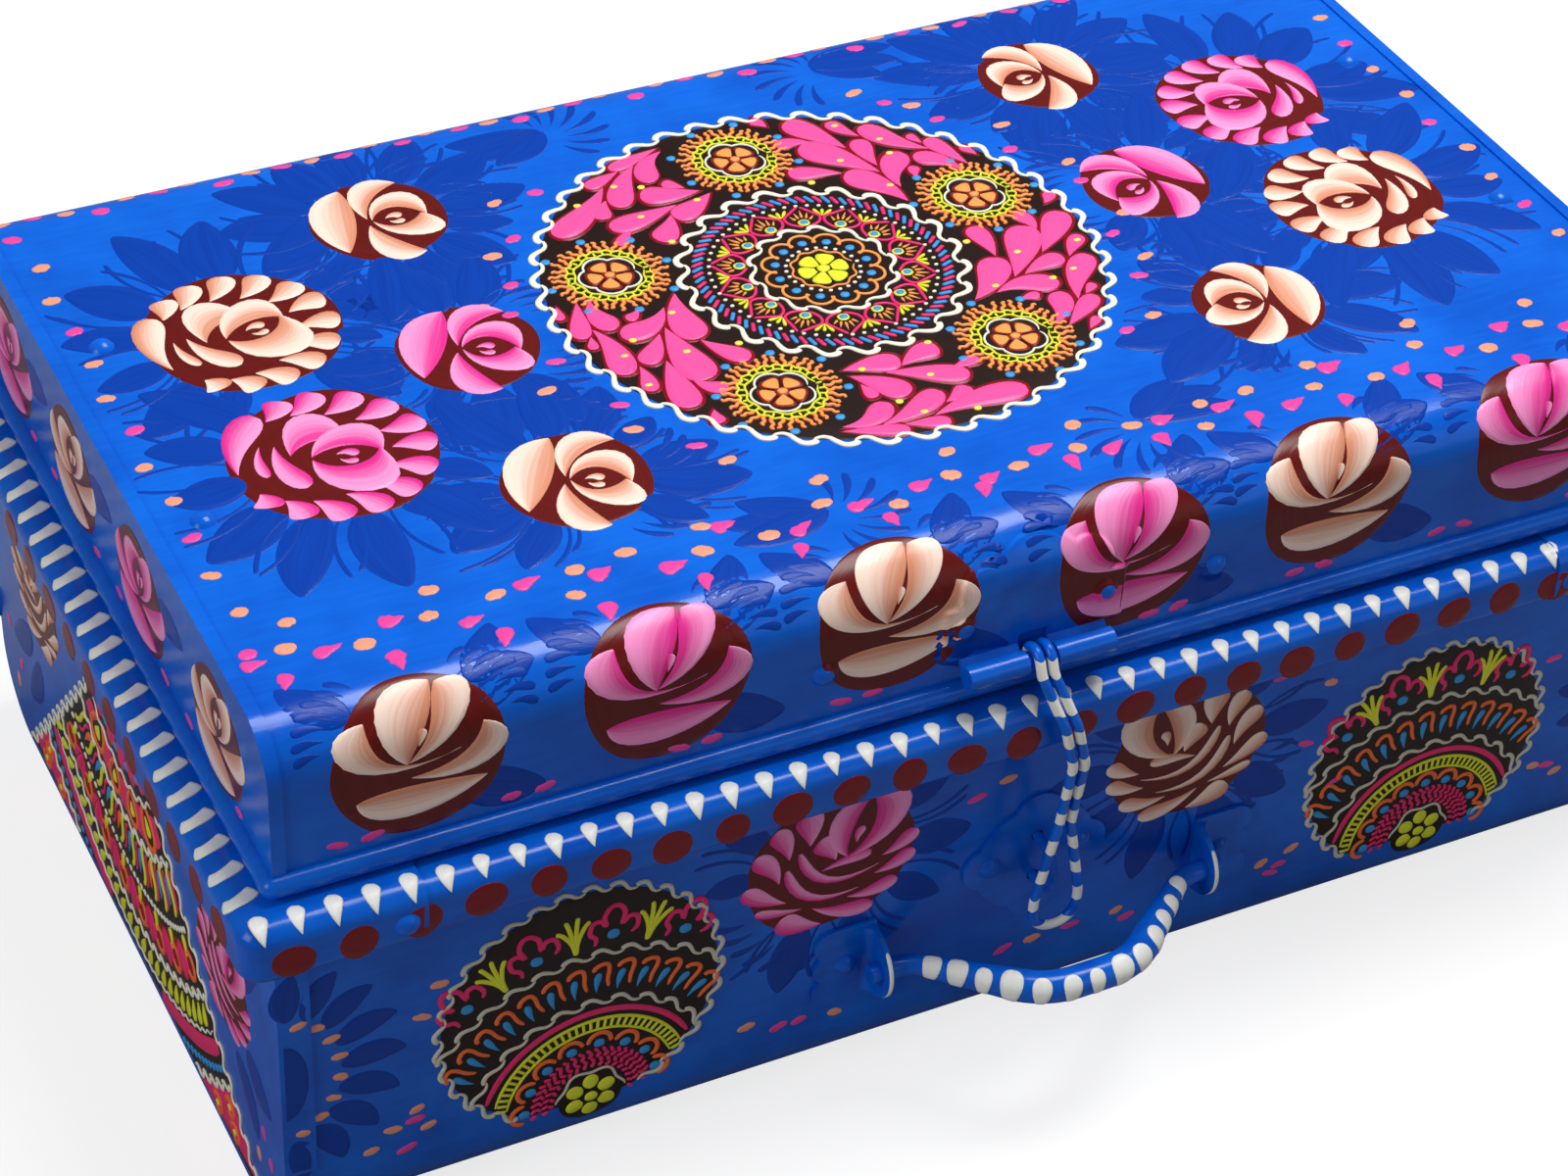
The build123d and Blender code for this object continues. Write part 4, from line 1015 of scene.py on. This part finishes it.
def onBail(u, v, h):
    # u runs along the bar from its middle, v round it from its outer side upwards
    s, *route = bailRoute()
    x, out, turn, radius = (np.interp(np.abs(u), s, values) for values in route)
    angle = v / radius
    reach = (radius + h) * np.cos(angle)
    px = bail["middle"] + np.sign(u) * (x - reach * np.sin(turn))
    py = bail["pivotY"] - out - reach * np.cos(turn)
    return np.stack([px, py, bail["z"] + (radius + h) * np.sin(angle)], -1)


def onEar(side):
    # rim of the half-round ear
    def surface(u, v, h):
        angle = v / bail["earReach"]
        y = -trunk["bodyY"] - (bail["earReach"] + h) * np.cos(angle)
        x = bail["middle"] + side * bail["earHalf"] + u
        return np.stack([x, y, bail["z"] + (bail["earRise"] + h) * np.sin(angle)], -1)
    return surface


def paintBail():
    # dabs across the front of the grip, and a line round each ear
    at = np.arange(*bail["dabs"])
    grow = 1 + .3 * (rng.random(len(at)) - .5)
    lean = 1.6 * (rng.random(len(at)) - .5)
    rows = np.column_stack([at + lean, -5.4 * grow, at - lean * .4, 5.6 * grow, 4.5 * grow, .05 * lean])
    Pen("bail", onBail).brush("white_strokes", drops(rows, 17), .12, wide=5)
    for side in (-1, 1):
        along = [(0, v) for v in np.linspace(-9, 9, 15)]
        Pen("rim", onEar(side)).brush("white_strokes", lines(along, 1.15), .12)


# Where everything goes on the body: places along a wall and up it. A fan has its middle, radius
# and foot; a rose its place, size, colour and hand; a comb its place, span, count and lean.

body = {
    "fans": [(-106.0, 49.6, 33.7, -103.4, 20.4), (109.0, 46.5, 33.0, 111.5, 20.6)],
    "fanChord": 19.4,
    "sideRoses": [(-47.9, 69.4, 21.0, "pink", 1), (41.6, 70.2, 20.8, "beige", -1)],
    "endRoses": [(-64, 59, 17.5, "beige", -1), (66, 54, 17.0, "pink", 1)],
    "cornerFans": [(-172.5, 53.0, 1), (172.5, 53.0, -1)],
    "wreathLimit": (-134, 136, 14, 89),
    "combs": [(-47.6, 67.5, 205, 285, 9, -30), (42.5, 68.0, -15, -75, 7, 30)],
    "sidePeach": [(-143.5, 33), (-149, 29), (-141, 27), (-154, 24.5), (-66, 26), (-44, 22), (75, 28),
                  (67, 26), (143, 30), (150, 26), (-138, 68), (-142, 60), (6, 25.5), (28, 26), (-5, 78),
                  (78, 78)],
    "sidePink": [(-144, 30), (-146, 22), (-53, 23), (-58, 23), (72, 24), (70, 22), (147, 29), (64, 84),
                 (84, 46), (142, 64), (-1.5, 25), (16, 26), (31, 23), (-12.5, 75), (74, 61)],
    "endLeaves": [(78, 60, 92, 78, 9, .1), (80, 44, 94, 36, 10, -.1), (72, 36, 84, 20, 9, .1),
                  (-72, 60, -88, 76, 9, -.1), (-72, 42, -88, 30, 10, .1), (-66, 36, -78, 18, 9, .1)],
    "endPink": [(88, 26), (92, 20), (-84, 22), (-92, 30), (-70, 80)],
    "endPeach": [(84, 16), (-88, 14), (-78, 84)],
}


def cornerFan(pen, u, v, side):
    # dark half disc against the corner, an arc of dabs and a fan of leaves
    def arc(count, half, wide, high):
        return circlePts(1.0, count, -half, half) * (side * wide, high) + (u, v)

    pen.pool("leaf_paint", (u + side * 1.0, v), arc(40, 90, 9.5 * .55, 9.5 * 1.15), .03, 5)
    spots(pen, arc(8, 74, 12.5, 16.5), "peach", (1.9, 1.1))
    tips = arc(9, 84, 27, 31.0)
    tips[:, 1] = np.clip(tips[:, 1], 15, 86)
    leaves(pen, np.column_stack([arc(9, 84, 12.5, 18.0), tips, np.full(9, 7.0), np.full(9, .1)]))


def paintBody():
    for place in ("front", "back"):
        surface = onWall(place)
        pen = Pen("body", surface)
        for x, z, r, *foot in body["fans"]:
            paintFan(Pen("body", surface, foot, r / fanDrawn), (x, z), r, body["fanChord"])
        for x, z, size, colour, flip in body["sideRoses"]:
            rose(pen, sideRose, (x, z), size, 0, colour, flip=flip, squash=.93)
        for corner in body["cornerFans"]:
            cornerFan(pen, *corner)
        fans = [(x, z + 1, r) for x, z, r, *foot in body["fans"]]
        roses = [row[:3] for row in body["sideRoses"]]
        leafWreath(pen, roses, fans, body["wreathLimit"], reach=15.0, width=10.0, step=36.0)
        for x, z, start, stop, count, lean in body["combs"]:
            combs(pen, (x, z), 22, start, stop, count, lean=lean, reach=8)
        spots(pen, body["sidePeach"], "peach", (2.1, 1.2), 5)
        spots(pen, body["sidePink"], "pink", (2.3, 1.1), 5)
    for place in ("left", "right"):
        pen = Pen("body", onEnd(place, trunk["bodyX"]))
        paintHangingFan(Pen("body", pen.surface, (0, hangingFan["top"])))
        for u, v, size, colour, flip in body["endRoses"]:
            rose(pen, sideRose, (u, v), size, 0, colour, flip=flip, squash=.93)
        leaves(pen, body["endLeaves"])
        spots(pen, body["endPink"], "pink", (1.2, 2.4))
        spots(pen, body["endPeach"], "peach", (1.2, 2.2))


paintLid()
print("lid painted")
paintRim()
paintBody()
paintBail()
print("body painted")


# Materials.

def linear(code):
    # sRGB hex to linear: the lower part divided by 12.92, the rest by the 2.4 power curve
    c = np.array([int(code[i:i + 2], 16) / 255 for i in (1, 3, 5)])
    c = np.where(c <= 0.04045, c / 12.92, ((c + 0.055) / 1.055) ** 2.4)
    return (*c.tolist(), 1.0)


def addNode(tree, kind, inputs=None, **settings):
    # one node: an input takes a value, a socket, or a node that feeds it from its first output
    node = tree.nodes.new("ShaderNode" + kind)
    for name, value in settings.items():
        setattr(node, name, value)
    for name, value in (inputs or {}).items():
        if isinstance(value, bpy.types.Node):
            value = value.outputs[0]
        if isinstance(value, bpy.types.NodeSocket):
            tree.links.new(value, node.inputs[name])
        else:
            node.inputs[name].default_value = value
    return node


def setRamp(node, *stops):
    for element, (place, code) in zip(node.color_ramp.elements, stops):
        element.position = place
        element.color = linear(code)


def newMaterial(name):
    material = bpy.data.materials.new(name)
    material.use_nodes = True
    material.node_tree.nodes.clear()
    return material, material.node_tree


def finishMaterial(tree, inputs):
    surface = addNode(tree, "BsdfPrincipled", inputs)
    return surface, addNode(tree, "OutputMaterial", {"Surface": surface})


# pattern sizes are in millimetres
enamel = {
    "blue": "#0668DE",
    "shade": "#0454C6",
    "rough": 0.19,
    "gloss": 0.32,
    "drag": (100 / 9, 10 / 7, 10 / 7),
    "ripple": 25 / 3,
    "bump": 0.6,
}


def blueEnamel(name, blotch=18.0, stripes=None):
    # brushed alkyd gloss enamel: level and wet-looking, faint brush drag and slow colour blotches
    material, tree = newMaterial(name)
    place = addNode(tree, "TexCoord").outputs["Object"]
    slow = addNode(tree, "TexNoise", {"Vector": place, "Scale": 1000 / blotch, "Detail": 3.0})
    drag = addNode(tree, "Mapping", {"Vector": place, "Scale": [1000 / size for size in enamel["drag"]]})
    hairs = addNode(tree, "TexNoise", {"Vector": drag, "Scale": 1.0, "Detail": 2.0})
    both = addNode(tree, "Math", {0: hairs, 1: 0.35, 2: slow}, operation="MULTIPLY_ADD")
    colour = addNode(tree, "ValToRGB", {"Fac": both})
    setRamp(colour, (0.45, enamel["shade"]), (0.85, enamel["blue"]))
    if stripes:
        colour = stripedOver(tree, place, colour, **stripes)
    least, most = enamel["rough"] - .05, enamel["rough"] + .1
    rough = addNode(tree, "MapRange", {"Value": slow, "To Min": least, "To Max": most})
    ripple = addNode(tree, "TexNoise", {"Vector": place, "Scale": 1000 / enamel["ripple"], "Detail": 1.0})
    height = addNode(tree, "Math", {0: hairs, 1: 0.25, 2: ripple}, operation="MULTIPLY_ADD")
    bump = addNode(tree, "Bump", {"Height": height, "Strength": 0.25, "Distance": enamel["bump"] / 1000})
    finishMaterial(tree, {"Base Color": colour, "Roughness": rough, "Normal": bump, "IOR": 1.45,
                          "Specular IOR Level": enamel["gloss"]})
    return material


def stripedOver(tree, place, colour, axis, pitch, share, shift, side, rag, ragSize, white):
    # white dabs of sign enamel along a blue bar, with ragged ends, only on the side that shows
    level = addNode(tree, "SeparateXYZ", {"Vector": place}).outputs[axis]
    noise = addNode(tree, "TexNoise", {"Vector": place, "Scale": 1000 / ragSize, "Detail": 1.0})
    wobble = addNode(tree, "Math", {0: noise, 1: rag / 1000, 2: level}, operation="MULTIPLY_ADD")
    count = addNode(tree, "Math", {0: wobble, 1: 1000 / pitch, 2: shift}, operation="MULTIPLY_ADD")
    part = addNode(tree, "Math", {0: count}, operation="FRACT")
    band = addNode(tree, "Math", {0: part, 1: share}, operation="LESS_THAN")
    normal = addNode(tree, "NewGeometry").outputs["Normal"]
    facing = addNode(tree, "VectorMath", {0: normal, 1: side}, operation="DOT_PRODUCT").outputs["Value"]
    front = addNode(tree, "Math", {0: facing, 1: -.25}, operation="GREATER_THAN")
    shown = addNode(tree, "Math", {0: band, 1: front}, operation="MULTIPLY")
    return addNode(tree, "Mix", {0: shown, 6: colour, 7: linear(white)}, data_type="RGBA").outputs[2]


paints = {
    "beige_petals": ("sign_enamel_beige_brushed", "#FFE2D2", "#DC9070", .3),
    "pink_petals": ("sign_enamel_pink_brushed", "#FF9AD2", "#E42C92", .3),
    "rose_ground": ("sign_enamel_maroon", "#6A1410", "#4A0C0E", .28),
    "leaf_paint": ("glaze_enamel_deep_blue", "#0442AE", "#022C8A", .3),
    "pink_dabs": ("sign_enamel_pink_dab", "#F04CA6", "#D8348C", .3),
    "peach_dabs": ("sign_enamel_peach_dab", "#F4A486", "#DC8464", .3),
    "medallion_ground": ("sign_enamel_black", "#220E0A", "#160806", .35),
    "white_piping": ("cone_piping_white", "#FBF8E6", "#E6E0C8", .38),
    # white piping greyed as painted shade, for the fans of the long walls
    "pale_piping": ("cone_piping_ivory", "#DCD6C4", "#BFB8A6", .4),
    "orange_piping": ("cone_piping_orange", "#FFA85A", "#F88A38", .38),
    "coral_piping": ("cone_piping_coral", "#FF7A3C", "#F4581C", .38),
    "red_piping": ("cone_piping_rust", "#8C1A0C", "#701008", .38),
    "yellow_piping": ("cone_piping_lime", "#EEF03A", "#C8D420", .38),
    "yellow_dots": ("cone_dot_lemon", "#F2EA5C", "#DED048", .38),
    "blue_dots": ("cone_dot_sky", "#3AA0E8", "#2480C8", .38),
    "pink_piping": ("cone_piping_magenta", "#F83078", "#D81C60", .38),
    "pink_sprays": ("sign_enamel_hot_pink", "#FF5AA4", "#F84494", .3),
    "spray_shadow": ("sign_enamel_oxblood", "#8A0A18", "#6C0812", .3),
    "white_strokes": ("sign_enamel_white_dab", "#FBFBF4", "#E4E6E4", .3),
    "oval_paint": ("glaze_enamel_red_brown", "#861018", "#620A12", .25),
}


def paintMaterial(key):
    # brush or cone paint: a petal's colour runs from its pale edge to its deep edge; all paint
    # is streaked along the stroke by the bristles
    name, pale, deep, rough = paints[key]
    material, tree = newMaterial(name)
    mark = addNode(tree, "Attribute", attribute_name="stroke").outputs["Vector"]
    stretch = addNode(tree, "Mapping", {"Vector": mark, "Scale": (14, 1.6, 37)})
    streak = addNode(tree, "TexNoise", {"Vector": stretch, "Scale": 1.0, "Detail": 3.0})
    if key.endswith("petals"):
        share = addNode(tree, "Math", {0: streak, 1: .5, 2: -.25}, operation="MULTIPLY_ADD")
        split = addNode(tree, "SeparateXYZ", {"Vector": mark})
        share = addNode(tree, "Math", {0: split, 1: share}, operation="ADD")
    else:
        share = addNode(tree, "Math", {0: streak, 1: .6, 2: .1}, operation="MULTIPLY_ADD")
    colour = addNode(tree, "ValToRGB", {"Fac": share})
    setRamp(colour, (.15, pale), (.95, deep))
    colour.color_ramp.interpolation = "EASE"
    bump = addNode(tree, "Bump", {"Height": streak, "Strength": .3, "Distance": .0002})
    finishMaterial(tree, {"Base Color": colour, "Roughness": rough, "Normal": bump, "IOR": 1.45,
                          "Specular IOR Level": 0.2 if key == "leaf_paint" else 0.28})
    return material


def bareTin(name, tint, grain, handling=50 / 3):
    # hot-dipped tin: bright and soft, with a faint spangle and dull handling marks
    material, tree = newMaterial(name)
    place = addNode(tree, "TexCoord").outputs["Object"]
    flakes = addNode(tree, "TexVoronoi", {"Vector": place, "Scale": 1000 / grain}).outputs["Color"]
    colour = addNode(tree, "ValToRGB", {"Fac": flakes})
    setRamp(colour, (0, tint), (1, "#D8D8D2"))
    marks = addNode(tree, "TexNoise", {"Vector": place, "Scale": 1000 / handling, "Detail": 4.0})
    rough = addNode(tree, "MapRange", {"Value": marks, "To Min": .25, "To Max": .5})
    finishMaterial(tree, {"Base Color": colour, "Metallic": 1.0, "Roughness": rough})
    return material


wireStripes = {
    "axis": "Z",
    "pitch": 8.2,       # millimetres, as the ragged edge below
    "share": .45,
    "shift": .1,
    "side": (0, -1, 0),
    "rag": 2.2,
    "ragSize": 100 / 33,
    "white": "#F2F0E6",
}
tin = bareTin("tinplate_bright", "#B8B8B4", 9.0)
finishes = {
    "hasp_wire": blueEnamel("gloss_enamel_blue_wire_dabbed", stripes=wireStripes),
    "inner_lip": tin,
    "lid_backing_strip": tin,
    "lid_hem_wires": bareTin("drawn_steel_wire", "#9A9A98", 2.0),
    "rim": blueEnamel("gloss_enamel_blue_rim", 14.0),
    "lid": blueEnamel("gloss_enamel_blue_lid", 26.0),
    "body": blueEnamel("gloss_enamel_blue_body"),
}
fittings = blueEnamel("gloss_enamel_blue_fittings", 8.0)

# a node takes the finish of its own name, or else that of its first word
for name, obj in nodes.items():
    if not obj.material_slots:
        obj.data.materials.append(None)
    finish = finishes.get(name) or finishes.get(name.split("_")[0], fittings)
    for slot in obj.material_slots:
        slot.material = finish
print("nodes finished")


def makePiece(name, bits, material, bodyName):
    # join all the strokes of one paint and write them into one mesh
    starts = np.cumsum([0] + [len(bit[0]) for bit in bits])
    points = np.concatenate([bit[0] for bit in bits]) / 1000
    quads, tris = (np.concatenate([bit[k] + start for bit, start in zip(bits, starts)]) for k in (1, 2))
    marks = np.concatenate([bit[3] for bit in bits])
    mesh = bpy.data.meshes.new(name)
    mesh.vertices.add(len(points))
    mesh.vertices.foreach_set("co", points.ravel())
    mesh.loops.add(quads.size + tris.size)
    mesh.loops.foreach_set("vertex_index", np.concatenate([quads.ravel(), tris.ravel()]).astype(np.int32))
    mesh.polygons.add(len(quads) + len(tris))
    corners = np.repeat([4, 3], [len(quads), len(tris)])
    mesh.polygons.foreach_set("loop_start", np.concatenate([[0], np.cumsum(corners)[:-1]]).astype(np.int32))
    mesh.update(calc_edges=True)
    mesh.polygons.foreach_set("use_smooth", np.ones(len(corners), bool))
    stroke = mesh.attributes.new("stroke", "FLOAT_VECTOR", "POINT")
    stroke.data.foreach_set("vector", marks.astype(np.float32).ravel())
    mesh.validate()
    mesh.materials.append(material)
    obj = bpy.data.objects.new(name, mesh)
    bpy.context.scene.collection.objects.link(obj)
    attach(obj, bodyName)
    return len(quads) * 2 + len(tris)


bodyOf = {"lid": "lid", "bail": "bail", "body": "trunk_body", "rim": "trunk_body"}
made = {}
total = 0
for piece, bits in sorted(paintBits.items()):
    owner, key = piece.split("_", 1)
    if key not in made:
        made[key] = paintMaterial(key)
    triangles = makePiece(piece, bits, made[key], bodyOf[owner])
    total += triangles
    print("piece", piece, triangles, "triangles")
print("paint triangles", total)


# Stage: pale floor, soft lamps and the camera.

stage = {
    "floorHalf": 4.0,
    "floorDrop": 0.0004,
    "floor": "#8E8E8E",
    "floorGlow": 0.78,
    "skyLight": 0.16,
    "lamps": {
        "overhead": ((0.42, 0.14, 1.42), (0, 0.0, 0.1), 0.7, 21.0),
        "side": ((-1.3, -0.3, 0.8), (0, -0.1, 0.05), 0.7, 7.0),
        "front": ((0.9, -1.4, 0.7), (0, -0.1, 0.05), 0.9, 1.5),
    },
}


def seenDirectly(tree):
    # 1 for rays that come straight from the camera, or on through glass
    path = addNode(tree, "LightPath")
    rays = {0: path.outputs["Is Camera Ray"], 1: path.outputs["Is Transmission Ray"]}
    return addNode(tree, "Math", rays, operation="MAXIMUM")


def makeStage():
    size = stage["floorHalf"]
    mesh = bpy.data.meshes.new("floor")
    corners = [(-size, -size, 0), (size, -size, 0), (size, size, 0), (-size, size, 0)]
    mesh.from_pydata(corners, [], [(0, 1, 2, 3)])
    floor = bpy.data.objects.new("floor", mesh)
    bpy.context.scene.collection.objects.link(floor)
    floor.location.z = -stage["floorDrop"]
    material, tree = newMaterial("paper_backdrop")
    surface, out = finishMaterial(tree, {"Base Color": linear(stage["floor"]), "Roughness": 0.9})
    glow = addNode(tree, "Emission", {"Color": (1, 1, 1, 1), "Strength": stage["floorGlow"]})
    fade = addNode(tree, "AddShader", {0: surface, 1: glow})
    mixed = addNode(tree, "MixShader", {0: seenDirectly(tree), 1: surface, 2: fade})
    tree.links.new(mixed.outputs["Shader"], out.inputs["Surface"])
    floor.data.materials.append(material)

    world = bpy.data.worlds.new("studio")
    bpy.context.scene.world = world
    world.use_nodes = True
    tree = world.node_tree
    tree.nodes.clear()
    seen = seenDirectly(tree)
    strength = addNode(tree, "MapRange", {"Value": seen, "To Min": stage["skyLight"], "To Max": 1.0})
    sky = addNode(tree, "Background", {"Color": (1, 1, 1, 1), "Strength": strength})
    addNode(tree, "OutputWorld", {"Surface": sky})

    for name, (place, aim, wide, power) in stage["lamps"].items():
        lamp = bpy.data.lights.new(name, "AREA")
        lamp.energy = power
        lamp.size = wide
        holder = bpy.data.objects.new(name, lamp)
        holder.location = place
        holder.rotation_euler = (Vector(aim) - Vector(place)).to_track_quat("-Z", "Y").to_euler()
        bpy.context.scene.collection.objects.link(holder)


view = {
    "place": (-0.33989, -0.61742, 0.62603),
    "turn": 28.1635,
    "tilt": 39.0763,
    "roll": -3.4311,
    "lens": 86.79,
}


def makeCamera():
    # the line of sight, its level right hand and its down direction, then the roll between them
    az, el, roll = (math.radians(view[k]) for k in ("turn", "tilt", "roll"))
    sight = Vector((math.cos(el) * math.sin(az), math.cos(el) * math.cos(az), -math.sin(el)))
    right = sight.cross(Vector((0, 0, 1))).normalized()
    down = sight.cross(right)
    x = math.cos(roll) * right + math.sin(roll) * down
    y = math.sin(roll) * right - math.cos(roll) * down
    camera = bpy.data.objects.new("camera", bpy.data.cameras.new("camera"))
    camera.data.sensor_width = 36.0
    camera.data.lens = view["lens"]
    camera.data.clip_end = 20.0
    frameMatrix = Matrix((x, y, -sight)).transposed().to_4x4()
    frameMatrix.translation = Vector(view["place"])
    camera.matrix_world = frameMatrix
    bpy.context.scene.collection.objects.link(camera)
    bpy.context.scene.camera = camera


makeStage()
makeCamera()
bpy.context.scene.view_settings.view_transform = "Standard"
print("stage and camera set")
